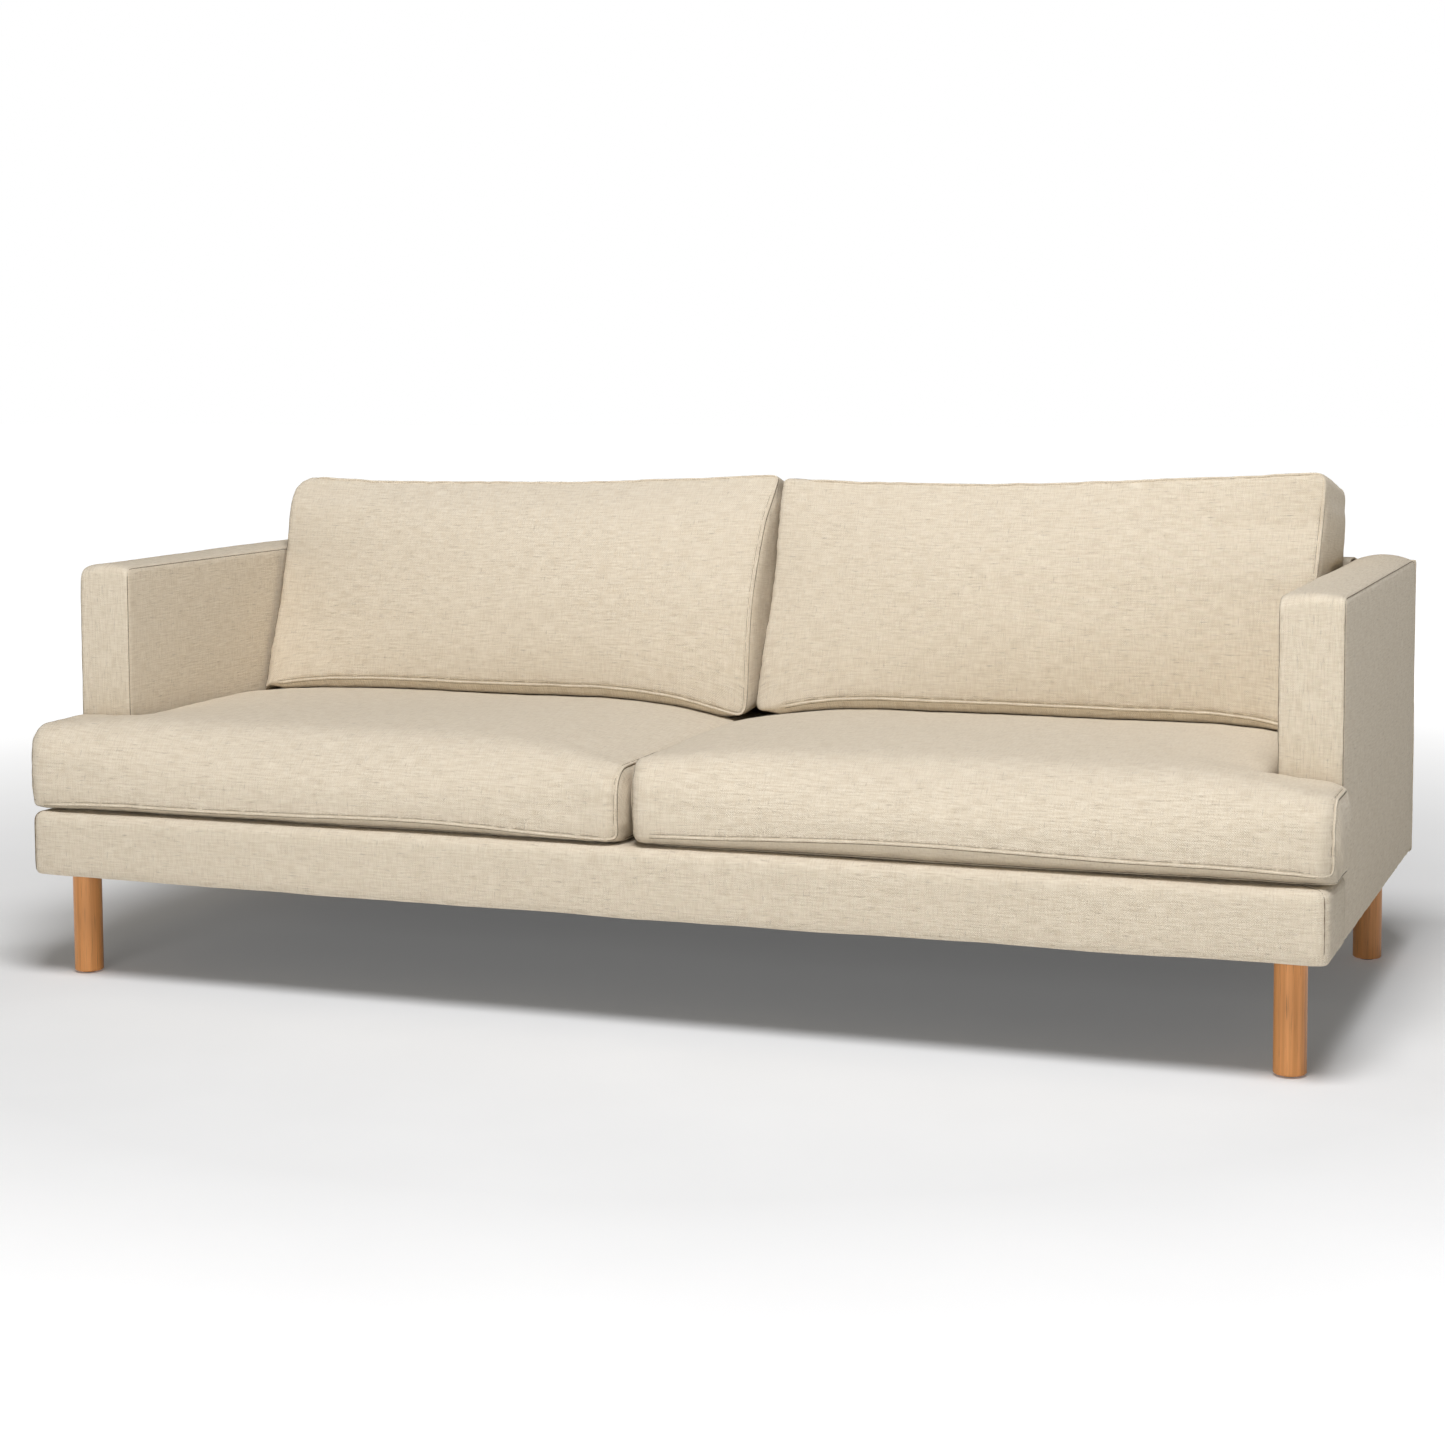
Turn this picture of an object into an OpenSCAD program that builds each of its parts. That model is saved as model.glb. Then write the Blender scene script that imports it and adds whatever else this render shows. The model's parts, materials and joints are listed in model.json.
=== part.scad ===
// Two-cushion, three-seat sofa on round wooden legs, built piece by piece as an upholsterer would.
// Millimetres. +X is the sitter's left-to-right seen from the front, +Y the back, +Z up.
// The origin is on the floor at the middle of the whole sofa.

/* [Overall] */
// Width over the arms
sofa_w = 2100; // [1900:10:2300]
// Depth from the front of the seat cushions to the back
sofa_d = 980; // [940:5:1040]
// Height of the arms and of the back frame
arm_h = 670; // [620:2:700]
// Height of the body's underside above the floor
leg_h = 171; // [140:1:200]
// Top of the seat deck, where the cushions lie
deck_h = 275; // [255:1:300]

/* [Arms and base] */
// Thickness of an arm
arm_w = 100; // [90:1:120]
// How far the base and the cushions reach in front of the arms
front_reach = 153; // [120:1:180]
// Thickness of the frame boards
rail_t = 25; // [20:1:28]
// Front of the back frame at deck height, measured from the sofa's rear
back_t_low = 160; // [150:1:180]
// Thickness of the back frame at the top
back_t_top = 106; // [96:1:116]

/* [Upholstery] */
// Fabric with its lining
cover_t = 2.5; // [2:0.5:3]
// Foam on the fronts and sides of the base and the arms
side_foam = 14; // [10:1:16]
// Foam on the top of the arms and of the back
top_foam = 15; // [10:1:18]
// Foam on the faces of an arm
arm_foam_t = 10; // [8:1:12]
// Foam on the front of the back frame
back_foam_t = 20; // [14:1:24]
// Hardboard in the arms
board_t = 4; // [3:1:5]

/* [Cushions] */
// Height of a seat cushion at its side seams, above the deck
seat_side_h = 114; // [100:1:124]
// Height of a seat cushion's crown above the deck
seat_crown_h = 149; // [140:1:160]
// Front-top radius of a seat cushion
seat_nose_r = 52; // [40:1:56]
// Top of the back cushions above the floor
back_cushion_top = 825; // [790:1:850]
// Space round each cushion
cushion_gap = 1.5; // [1:0.5:3]

/* [Legs and springs] */
// Leg diameter
leg_d = 47; // [40:1:50]
// Leg centre from the side of the sofa
leg_in_x = 61; // [58:1:70]
// Front leg centre from the front of the base
leg_in_front = 71; // [65:1:80]
// Rear leg centre from the rear of the sofa
leg_in_rear = 104; // [95:1:120]
// Bars in each zigzag spring
spring_bars = 21; // [15:2:25]
// Springs under each seat
springs_per_seat = 5; // [4:1:6]

/* [Hidden] */
$fn = 48;
eps = 1;

// Planes of the sofa
half_w = sofa_w / 2;
arm_in = half_w - arm_w;
front_y = -sofa_d / 2;
rear_y = sofa_d / 2;
base_front_y = front_y + 2;
arm_front_y = base_front_y + front_reach;
frame_rear_y = rear_y - cover_t;
side_gap = 0.5;
inside_x = arm_in - side_gap;

// Base frame
rail_z0 = leg_h + 3;
rail_z1 = deck_h - 13;
rail_out_x = half_w - cover_t - side_foam;
rail_in_x = rail_out_x - rail_t;
rail_front_y = base_front_y + cover_t + side_foam;
seat_rail_y = rear_y - back_t_low;
deck_board_t = 9;
block_w = 80;
block_h = 40;
front_block_d = 70;

// Arm frame
post_in_x = arm_in + cover_t + arm_foam_t + board_t;
board_in_x = post_in_x - board_t;
board_out_x = rail_out_x + board_t;
arm_frame_y = arm_front_y + cover_t + side_foam;
frame_top = arm_h - cover_t - top_foam;
top_rail_t = 30;
front_post_d = 60;
rear_post_d = 50;

// Back frame: its front leans back from the deck to the top
back_lean = (back_t_low - back_t_top) / (arm_h - deck_h);
webbing_t = 1.5;
webbing_w = 60;
straps_per_side = 6;
back_post_w = 40;
back_frame_in = cover_t + back_foam_t + webbing_t;
back_z0 = rail_z1 + 8;

// Springs
wire_r = 1.9;
wire_z = rail_z1 + wire_r;
spring_half_w = 24;

// Legs
leg_x = half_w - leg_in_x;
leg_front_y = base_front_y + leg_in_front;
leg_rear_y = rear_y - leg_in_rear;
leg_top = rail_z0 - 1;
glide_h = 3;
glide_r = 12;
bolt_r = 4;
bolt_in_leg = 45;

// Cushions
seat_z0 = deck_h + 0.5;
seat_side_z = deck_h + seat_side_h;
seat_crown_z = deck_h + seat_crown_h;
seat_rear_y = seat_rail_y - 18;
seat_in_x = arm_in - cushion_gap;
seat_core_in = 2;
back_front_low = [seat_rail_y - 248, seat_crown_z + 4];
back_front_high = [seat_rail_y - 112, back_cushion_top - 15];
back_rear_low = [seat_rail_y - 10, seat_side_z + 42];
back_rear_mid = [seat_rail_y + 40, arm_h - 20];
back_rear_high = [seat_rail_y + 78, back_cushion_top - 36];
back_lean_angle = atan2(back_front_high[0] - back_front_low[0], back_front_high[1] - back_front_low[1]);
back_rear_angle = atan2(back_rear_mid[0] - back_rear_low[0], back_rear_mid[1] - back_rear_low[1]);
back_bulge = 16;
back_pinch = 14;
cushion_mid_x = (seat_in_x + cushion_gap) / 2;

// Zips
zip_tape_w = 22;
zip_tape_t = 0.8;
zip_teeth_w = 5;
zip_teeth_t = 1.8;
seat_zip_l = 640;
back_zip_l = 540;
slider_l = 12;
slider_play = 0.3;

wood_tone = "burlywood";
leg_tone = "peru";
linen = "wheat";
foam_tone = "lightyellow";
steel = "silver";
board_tone = "saddlebrown";

// ---------- outlines ----------

// An arc's points, anticlockwise from a0 to a1
function arc(c, r, a0, a1, n = 6) = r <= 0 ? [c]
    : [for (i = [0:n]) c + r * [cos(a0 + (a1 - a0) * i / n), sin(a0 + (a1 - a0) * i / n)]];

// A rectangle whose corners have the radii [low left, low right, high right, high left]
function round_rect(a, b, r) = concat(
    arc([a[0] + r[0], a[1] + r[0]], r[0], 180, 270),
    arc([b[0] - r[1], a[1] + r[1]], r[1], 270, 360),
    arc([b[0] - r[2], b[1] - r[2]], r[2], 0, 90),
    arc([a[0] + r[3], b[1] - r[3]], r[3], 90, 180));

function unit(v) = v / norm(v);
function inward(a, b) = let (d = unit(b - a)) [-d[1], d[0]];

// An anticlockwise outline moved inward by d
function inset(pts, d) = let (n = len(pts))
    [for (i = [0:n - 1])
        let (m = inward(pts[(i + n - 1) % n], pts[i]), k = inward(pts[i], pts[(i + 1) % n]))
        pts[i] + d * (m + k) / (1 + m * k)];

// Straight prisms along each axis
module along_x(x0, x1) {
    translate([x0, 0, 0]) rotate([90, 0, 90]) linear_extrude(x1 - x0) children();
}

module along_y(y0, y1) {
    translate([0, y1, 0]) rotate([90, 0, 0]) linear_extrude(y1 - y0) children();
}

module along_z(z0, z1) {
    translate([0, 0, z0]) linear_extrude(z1 - z0) children();
}

module box(a, b) {
    translate(a) cube(b - a);
}

// Draws a piece of the right half on either half
module on_side(side) {
    if (side > 0) children();
    else mirror([1, 0, 0]) children();
}

// Front face of the back frame's upholstery at a height
function back_face_y(z) = seat_rail_y + (z - deck_h) * back_lean;

// ---------- base frame ----------

module front_rail() {
    color(wood_tone) box([-rail_out_x, rail_front_y, rail_z0], [rail_out_x, rail_front_y + rail_t, rail_z1]);
}

module front_inner_rail() {
    color(wood_tone) box([-rail_in_x, arm_front_y, rail_z0], [rail_in_x, arm_front_y + rail_t, rail_z1]);
}

module rear_seat_rail() {
    color(wood_tone) box([-rail_in_x, seat_rail_y, rail_z0], [rail_in_x, seat_rail_y + rail_t, rail_z1]);
}

module rear_rail() {
    color(wood_tone) box([-rail_out_x, frame_rear_y - rail_t, rail_z0], [rail_out_x, frame_rear_y, rail_z1]);
}

module side_rail(side) {
    color(wood_tone) on_side(side)
        box([rail_in_x, rail_front_y + rail_t, rail_z0], [rail_out_x, frame_rear_y - rail_t, rail_z1]);
}

module centre_rail() {
    color(wood_tone)
        box([-rail_t / 2, arm_front_y + rail_t, rail_z0], [rail_t / 2, seat_rail_y, rail_z1]);
}

module front_deck_board() {
    color(wood_tone)
        box([-rail_in_x, rail_front_y + rail_t, rail_z1 - deck_board_t], [rail_in_x, arm_front_y, rail_z1]);
}

// Where each leg stands
module at_legs() {
    for (x = [-leg_x, leg_x], y = [leg_front_y, leg_rear_y]) translate([x, y, 0]) children();
}

module corner_blocks() {
    block_z1 = rail_z0 + block_h;
    barrel_h = 9;
    color(wood_tone) difference() {
        for (side = [-1, 1]) on_side(side) {
            box([rail_in_x - block_w, rail_front_y + rail_t, rail_z0],
                [rail_in_x, rail_front_y + rail_t + front_block_d, block_z1]);
            box([rail_in_x - block_w, seat_rail_y + rail_t, rail_z0],
                [rail_in_x, frame_rear_y - rail_t, block_z1]);
        }
        at_legs() {
            translate([0, 0, rail_z0 - eps]) cylinder(r = bolt_r + 0.3, h = block_h + 2 * eps);
            translate([0, 0, block_z1 - barrel_h]) cylinder(r = 5, h = barrel_h + eps);
        }
    }
}

// ---------- legs ----------

module leg(x, y) {
    r = leg_d / 2;
    edge = 2;
    color(leg_tone) translate([x, y, 0]) difference() {
        rotate_extrude()
            polygon([[0, glide_h], [r - edge, glide_h], [r, glide_h + edge], [r, leg_top], [0, leg_top]]);
        translate([0, 0, leg_top - bolt_in_leg]) cylinder(r = bolt_r, h = bolt_in_leg + eps);
        translate([0, 0, glide_h - eps]) cylinder(r = 1.5, h = 14 + eps);
    }
}

module leg_bolts() {
    z0 = leg_top - bolt_in_leg;
    color(steel) at_legs() translate([0, 0, z0]) cylinder(r = bolt_r, h = rail_z0 + block_h + 3 - z0);
}

module leg_tee_nuts() {
    z1 = rail_z0 + block_h;
    color(steel) at_legs() difference() {
        union() {
            translate([0, 0, z1 - 9]) cylinder(r = 5, h = 9);
            translate([0, 0, z1]) cylinder(r = 11, h = 1.5);
        }
        translate([0, 0, z1 - 9 - eps]) cylinder(r = bolt_r, h = 12 + eps);
    }
}

module leg_glides() {
    color("dimgray") at_legs() {
        cylinder(r = glide_r, h = glide_h);
        translate([0, 0, glide_h]) cylinder(r = 1.5, h = 14);
    }
}

// ---------- arm frames ----------

module arm_front_post(side) {
    color(wood_tone) on_side(side)
        box([post_in_x, arm_frame_y, rail_z1], [rail_out_x, arm_frame_y + front_post_d, frame_top - top_rail_t]);
}

module arm_rear_post(side) {
    color(wood_tone) on_side(side)
        box([post_in_x, frame_rear_y - rear_post_d, rail_z1], [rail_out_x, frame_rear_y, frame_top - top_rail_t]);
}

module arm_top_rail(side) {
    color(wood_tone) on_side(side)
        box([post_in_x, arm_frame_y, frame_top - top_rail_t], [rail_out_x, frame_rear_y, frame_top]);
}

module arm_inner_board(side) {
    color(board_tone) on_side(side)
        box([board_in_x, arm_frame_y, rail_z1], [post_in_x, frame_rear_y, frame_top]);
}

module arm_outer_board(side) {
    color(board_tone) on_side(side)
        box([rail_out_x, arm_frame_y, rail_z0], [board_out_x, frame_rear_y, frame_top]);
}

// The right arm's upholstered block, moved inward by d
module arm_block(d) {
    nose_r = 30;
    edge_r = 14;
    intersection() {
        along_x(arm_in + d, half_w - d)
            polygon(round_rect([arm_front_y + d, leg_h], [frame_rear_y, arm_h - d], [0, 0, 8, nose_r - d]));
        along_y(arm_front_y + d, frame_rear_y)
            polygon(round_rect([arm_in + d, leg_h], [half_w - d, arm_h - d], [0, 0, edge_r - d, edge_r - d]));
    }
}

// What an arm's upholstery leaves open under the deck, where only the outer side hangs down
module under_deck_space() {
    box([arm_in - eps, arm_front_y - eps, leg_h - eps], [board_out_x, frame_rear_y + eps, rail_z1]);
}

module arm_foam(side) {
    color(foam_tone) on_side(side) difference() {
        arm_block(cover_t);
        box([board_in_x, arm_frame_y, rail_z1 - eps], [board_out_x, frame_rear_y + eps, frame_top]);
        under_deck_space();
        box([arm_in - eps, arm_front_y - eps, leg_h - eps], [half_w + eps, frame_rear_y + eps, rail_z0]);
    }
}

module arm_cover(side) {
    color(linen) on_side(side) difference() {
        arm_block(0);
        difference() {
            arm_block(cover_t);
            box([arm_in - eps, arm_front_y - eps, leg_h - eps], [half_w + eps, frame_rear_y + eps, leg_h + cover_t]);
        }
        under_deck_space();
    }
}

// ---------- back frame ----------

// Leaning outline from d behind the back's front face to y1, between two heights
function back_strip(d, z0, z1, y1) = [[back_face_y(z0) + d, z0], [y1, z0], [y1, z1], [back_face_y(z1) + d, z1]];

module back_posts() {
    color(wood_tone) for (x = [-inside_x, -back_post_w / 2, inside_x - back_post_w])
        along_x(x, x + back_post_w)
            polygon(back_strip(back_frame_in, rail_z1, frame_top - top_rail_t, frame_rear_y));
}

module back_top_rail() {
    color(wood_tone) along_x(-inside_x, inside_x)
        polygon(back_strip(back_frame_in, frame_top - top_rail_t, frame_top, frame_rear_y));
}

module back_lower_rails() {
    z0 = rail_z1 + 20;
    z1 = z0 + 60;
    y0 = back_face_y(z0) + back_frame_in;
    y1 = back_face_y(z1) + back_frame_in;
    color(wood_tone) for (side = [-1, 1]) on_side(side)
        along_x(back_post_w / 2, inside_x - back_post_w)
            polygon([[y0, z0], [y0 + rail_t, z0], [y1 + rail_t, z1], [y1, z1]]);
}

module back_webbing() {
    z0 = rail_z1 + 30;
    z1 = frame_top - 8;
    d = back_frame_in - webbing_t;
    span = inside_x - 2 * back_post_w;
    color("black") for (side = [-1, 1], i = [0:straps_per_side - 1]) on_side(side) {
        x = back_post_w + (i + 0.5) * span / straps_per_side;
        along_x(x - webbing_w / 2, x + webbing_w / 2)
            polygon([[back_face_y(z0) + d, z0], [back_face_y(z0) + d + webbing_t, z0],
                     [back_face_y(z1) + d + webbing_t, z1], [back_face_y(z1) + d, z1]]);
    }
}

// Outline of the upholstered back, moved inward by d from its front and top
function back_outline(d) = let (r = 25 - d, z1 = arm_h - d, yf = back_face_y(z1) + d)
    concat([[back_face_y(back_z0) + d, back_z0], [frame_rear_y, back_z0], [frame_rear_y, z1]],
        arc([yf + r, z1 - r], r, 90, 172));

module back_foam() {
    color(foam_tone) difference() {
        along_x(-inside_x, inside_x) polygon(back_outline(cover_t));
        along_x(-inside_x - eps, inside_x + eps)
            polygon(back_strip(cover_t + back_foam_t, rail_z1 - eps, frame_top, frame_rear_y + eps));
    }
}

module back_cover() {
    color(linen) difference() {
        along_x(-inside_x, inside_x) polygon(back_outline(0));
        translate([0, eps, 0]) along_x(-inside_x - eps, inside_x + eps)
            polygon([for (p = back_outline(cover_t)) p[0] > frame_rear_y - eps ? p : p - [eps, 0]]);
    }
}

module outside_back_cover() {
    color(linen) along_y(frame_rear_y, rear_y)
        polygon(round_rect([-half_w, leg_h], [half_w, arm_h], [0, 0, 14, 14]));
}

// ---------- seat suspension ----------

spring_y0 = arm_front_y + rail_t;
spring_y1 = seat_rail_y;
bar_step = (spring_y1 - spring_y0 + 16) / (spring_bars - 1);
bar_r = bar_step / 2;
bar_half = spring_half_w - bar_r;

function spring_x(i) = rail_t / 2 + (i + 0.5) * (arm_in - rail_t / 2) / springs_per_seat;

// One zigzag spring lying along Y: cross bars joined by half turns at alternate ends
module zigzag_spring() {
    for (i = [0:spring_bars - 1])
        translate([-bar_half, spring_y0 - 8 + i * bar_step, wire_z])
            rotate([0, 90, 0]) cylinder(r = wire_r, h = 2 * bar_half, $fn = 16);
    for (i = [0:spring_bars - 2])
        translate([(i % 2 == 0 ? 1 : -1) * bar_half, spring_y0 - 8 + (i + 0.5) * bar_step, wire_z])
            rotate([0, 0, i % 2 == 0 ? -90 : 90])
                rotate_extrude(angle = 180) translate([bar_r, 0]) circle(r = wire_r, $fn = 16);
}

module seat_springs() {
    color(steel) for (side = [-1, 1], i = [0:springs_per_seat - 1])
        translate([side * spring_x(i), 0, 0]) zigzag_spring();
}

// A folded steel clip over each end bar of each spring, nailed on the rail
module spring_clips() {
    play = 0.2;
    wall = 1.2;
    reach = 14;
    color(steel) for (side = [-1, 1], i = [0:springs_per_seat - 1], last = [0, 1])
        translate([side * spring_x(i), last == 0 ? spring_y0 - 8 : spring_y1 + 8, 0])
            mirror([0, last, 0]) difference() {
                box([-9, -reach, rail_z1], [9, wire_r + play + wall, wire_z + wire_r + play + wall]);
                box([-10, -wire_r - play, rail_z1 - eps], [10, wire_r + play, wire_z + wire_r + play]);
                box([-10, -reach - eps, rail_z1 + wall], [10, -wire_r - play - wall, wire_z + 9]);
            }
}

module deck_pad() {
    z1 = deck_h - cover_t;
    color("darkgray")
        box([-inside_x, arm_front_y + side_gap, z1 - 4], [inside_x, seat_rail_y - 1.5, z1]);
}

module deck_cloth() {
    color(linen)
        box([-inside_x, arm_front_y + side_gap, deck_h - cover_t], [inside_x, seat_rail_y - 1.5, deck_h]);
}

// ---------- base upholstery ----------

// The part of the base in front of the arms, moved inward by d
module front_border_block(d) {
    corner_r = 22;
    edge_r = 14;
    y1 = arm_front_y;
    intersection() {
        along_x(-half_w + d, half_w - d)
            polygon(round_rect([base_front_y + d, leg_h + d], [y1, deck_h - d], [edge_r - d, 0, 0, edge_r - d]));
        along_z(leg_h + d, deck_h - d)
            polygon(round_rect([-half_w + d, base_front_y + d], [half_w - d, y1], [corner_r - d, corner_r - d, 0, 0]));
    }
}

module front_border_foam() {
    color(foam_tone) difference() {
        front_border_block(cover_t);
        box([-rail_out_x, rail_front_y, leg_h], [rail_out_x, arm_front_y + eps, rail_z1]);
        box([-half_w, base_front_y, leg_h], [half_w, arm_front_y + eps, rail_z0]);
    }
}

module front_border_cover() {
    lip = 32;
    color(linen) difference() {
        front_border_block(0);
        front_border_block(cover_t);
        box([-half_w + lip, base_front_y + lip, leg_h - eps], [half_w - lip, arm_front_y + eps, rail_z0]);
    }
}

module dust_cover() {
    edge = 34;
    color("dimgray") difference() {
        box([-half_w + edge, base_front_y + edge, leg_top], [half_w - edge, frame_rear_y - 4, rail_z0]);
        at_legs() translate([0, 0, leg_top - eps]) cylinder(r = bolt_r + 0.3, h = 4);
    }
}

// ---------- seat cushions ----------

// Plan of the right seat cushion: it fills the space between the arms and runs out in front of one
function seat_plan() = let (r = 10, ear_y = arm_front_y - cushion_gap) concat(
    arc([cushion_gap + r, front_y + r], r, 180, 270),
    arc([half_w - 18, front_y + 18], 18, 270, 360),
    arc([half_w - r, ear_y - r], r, 0, 90),
    [[seat_in_x, ear_y]],
    arc([seat_in_x - 18, seat_rear_y - 18], 18, 0, 90),
    arc([cushion_gap + 18, seat_rear_y - 18], 18, 90, 180));

// Height of the crown across the cushion, u from -1 to 1
function crown(u) = seat_side_z + (seat_crown_z - seat_side_z) * (1 - pow(abs(u), 4));

// Front view of the right seat cushion: a low arch over the seat, falling away in front of the arm
function seat_front_view() = let (n = 7, x0 = cushion_gap, x1 = seat_in_x + 40) concat(
    [[x0, seat_z0], [half_w, seat_z0], [half_w, seat_side_z - 6]],
    [for (i = [n:-1:-n]) if (abs(i) >= 3) [(x0 + x1) / 2 + i / n * (x1 - x0) / 2, crown(i / n)]]);

// Side view: a rounded nose, a top that rises a little and then falls to the rear
function seat_side_view() = let (nose_z = seat_crown_z - 14, back_z = seat_side_z + 12) concat(
    arc([front_y + 10, seat_z0 + 10], 10, 180, 270),
    arc([seat_rear_y - 8, seat_z0 + 8], 8, 270, 360),
    arc([seat_rear_y - 12, back_z - 12], 12, 0, 90),
    [[seat_rail_y - 250, seat_crown_z + 2], [arm_front_y, seat_crown_z + 2]],
    arc([front_y + seat_nose_r, nose_z - seat_nose_r], seat_nose_r, 90, 180));

module seat_block(d) {
    intersection() {
        along_z(seat_z0 + d, seat_crown_z + 10) polygon(inset(seat_plan(), d));
        along_y(front_y - eps, seat_rear_y + eps) polygon(inset(seat_front_view(), d));
        along_x(-eps, half_w + eps) polygon(inset(seat_side_view(), d));
    }
}

module seat_core(side) {
    color(foam_tone) on_side(side) seat_block(seat_core_in);
}

module seat_cover(side) {
    color(linen) on_side(side) difference() {
        seat_block(0);
        seat_block(seat_core_in);
    }
}

// ---------- back cushions ----------

// Side view of a back cushion, leaning back and resting on the seat
function back_side_view() = let (r = 14) [
    each arc(back_front_low + [r, r], r, 165, 270, 4),
    back_rear_low - [30, 23],
    back_rear_low,
    back_rear_mid,
    back_rear_high,
    each arc(back_rear_high + [-26, 4], 30, 10, 80, 4),
    [(back_front_high[0] + back_rear_high[0]) / 2, back_cushion_top],
    each arc(back_front_high + [24, -12], 26, 100, 165, 4),
    (back_front_low + back_front_high) / 2 + back_bulge * [-cos(back_lean_angle), sin(back_lean_angle)]];

// Front view of the right back cushion
function back_front_view() = round_rect([cushion_gap, seat_side_z], [seat_in_x, back_cushion_top + 1],
    [16, 16, 30, 30]);

// Seen along its lean, the cushion's front is full in the middle and pinched towards each side
module back_pinched(d) {
    x0 = cushion_gap;
    x1 = seat_in_x;
    shoulder = 160;
    front = -back_bulge - 2;
    deep = 500;
    translate([0, back_front_low[0], back_front_low[1]]) rotate([-back_lean_angle, 0, 0])
        along_z(-200, 600)
            polygon(inset([[x0, back_pinch], [x0 + shoulder, front], [x1 - shoulder, front], [x1, back_pinch],
                           [x1, deep], [x0, deep]], d));
}

module back_block(d) {
    intersection() {
        along_x(0, half_w) polygon(inset(back_side_view(), d));
        along_y(front_y, rear_y) polygon(inset(back_front_view(), d));
        back_pinched(d);
    }
}

module back_fill(side) {
    color(foam_tone) on_side(side) back_block(seat_core_in);
}

module back_cushion_cover(side) {
    color(linen) on_side(side) difference() {
        back_block(0);
        back_block(seat_core_in);
    }
}

// ---------- zips ----------

// A zip on a face that looks along +Y, centred on the origin
module zip_strip(length) {
    box([-length / 2, 0, -zip_tape_w / 2], [length / 2, zip_tape_t, zip_tape_w / 2]);
    box([-length / 2, zip_tape_t, -zip_teeth_w / 2], [length / 2, zip_tape_t + zip_teeth_t, zip_teeth_w / 2]);
}

// Its slider, closed at the zip's -X end, straddling the teeth, with a pull tab
module zip_slider(length) {
    x0 = -length / 2 + 6;
    y0 = zip_tape_t + slider_play;
    y1 = zip_tape_t + zip_teeth_t + slider_play;
    half_h = zip_teeth_w / 2 + slider_play;
    wall = 1.2;
    difference() {
        box([x0, y0, -half_h - wall], [x0 + slider_l, y1 + wall, half_h + wall]);
        box([x0 - eps, y0 - eps, -half_h], [x0 + slider_l + eps, y1, half_h]);
    }
    box([x0 + 3, y1 + wall, -24], [x0 + 9, y1 + wall + 1.5, 3]);
}

module at_seat_zip(side) {
    translate([side * cushion_mid_x, seat_rear_y, (seat_z0 + seat_side_z) / 2]) children();
}

module at_back_zip(side) {
    up = 36;
    translate([side * cushion_mid_x, back_rear_low[0] + up * tan(back_rear_angle), back_rear_low[1] + up])
        rotate([-back_rear_angle, 0, 0]) children();
}

module seat_zip(side) {
    color("tan") at_seat_zip(side) zip_strip(seat_zip_l);
}

module back_zip(side) {
    color("tan") at_back_zip(side) zip_strip(back_zip_l);
}

module seat_zip_slider(side) {
    color(steel) at_seat_zip(side) zip_slider(seat_zip_l);
}

module back_zip_slider(side) {
    color(steel) at_back_zip(side) zip_slider(back_zip_l);
}

// ---------- nodes ----------

front_rail();
front_inner_rail();
rear_seat_rail();
rear_rail();
side_rail(-1);  // left_side_rail
side_rail(1);  // right_side_rail
centre_rail();
front_deck_board();
corner_blocks();
arm_front_post(-1);  // left_arm_front_post
arm_rear_post(-1);  // left_arm_rear_post
arm_top_rail(-1);  // left_arm_top_rail
arm_inner_board(-1);  // left_arm_inner_board
arm_outer_board(-1);  // left_arm_outer_board
arm_front_post(1);  // right_arm_front_post
arm_rear_post(1);  // right_arm_rear_post
arm_top_rail(1);  // right_arm_top_rail
arm_inner_board(1);  // right_arm_inner_board
arm_outer_board(1);  // right_arm_outer_board
back_posts();
back_top_rail();
back_lower_rails();
back_webbing();
seat_springs();
spring_clips();
deck_pad();
deck_cloth();
front_border_foam();
front_border_cover();
arm_foam(-1);  // left_arm_foam
arm_cover(-1);  // left_arm_cover
arm_foam(1);  // right_arm_foam
arm_cover(1);  // right_arm_cover
back_foam();
back_cover();
outside_back_cover();
dust_cover();
seat_core(-1);  // left_seat_core
seat_cover(-1);  // left_seat_cover
seat_core(1);  // right_seat_core
seat_cover(1);  // right_seat_cover
back_fill(-1);  // left_back_fill
back_cushion_cover(-1);  // left_back_cushion_cover
back_fill(1);  // right_back_fill
back_cushion_cover(1);  // right_back_cushion_cover
seat_zip(-1);  // left_seat_zip
seat_zip(1);  // right_seat_zip
back_zip(-1);  // left_back_zip
back_zip(1);  // right_back_zip
seat_zip_slider(-1);  // left_seat_zip_slider
seat_zip_slider(1);  // right_seat_zip_slider
back_zip_slider(-1);  // left_back_zip_slider
back_zip_slider(1);  // right_back_zip_slider
leg(-leg_x, leg_front_y);  // leg_front_left
leg(leg_x, leg_front_y);  // leg_front_right
leg(-leg_x, leg_rear_y);  // leg_rear_left
leg(leg_x, leg_rear_y);  // leg_rear_right
leg_bolts();
leg_tee_nuts();
leg_glides();
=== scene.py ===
"""A linen sofa on oak legs: cushions, upholstery, materials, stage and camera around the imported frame.

Lengths are in metres. The right half is built at +X, and the left half is its mirror image with its own
creases.
"""
import json

import bmesh
import bpy
import numpy as np
from mathutils import Matrix, Vector, bvhtree, noise


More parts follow.
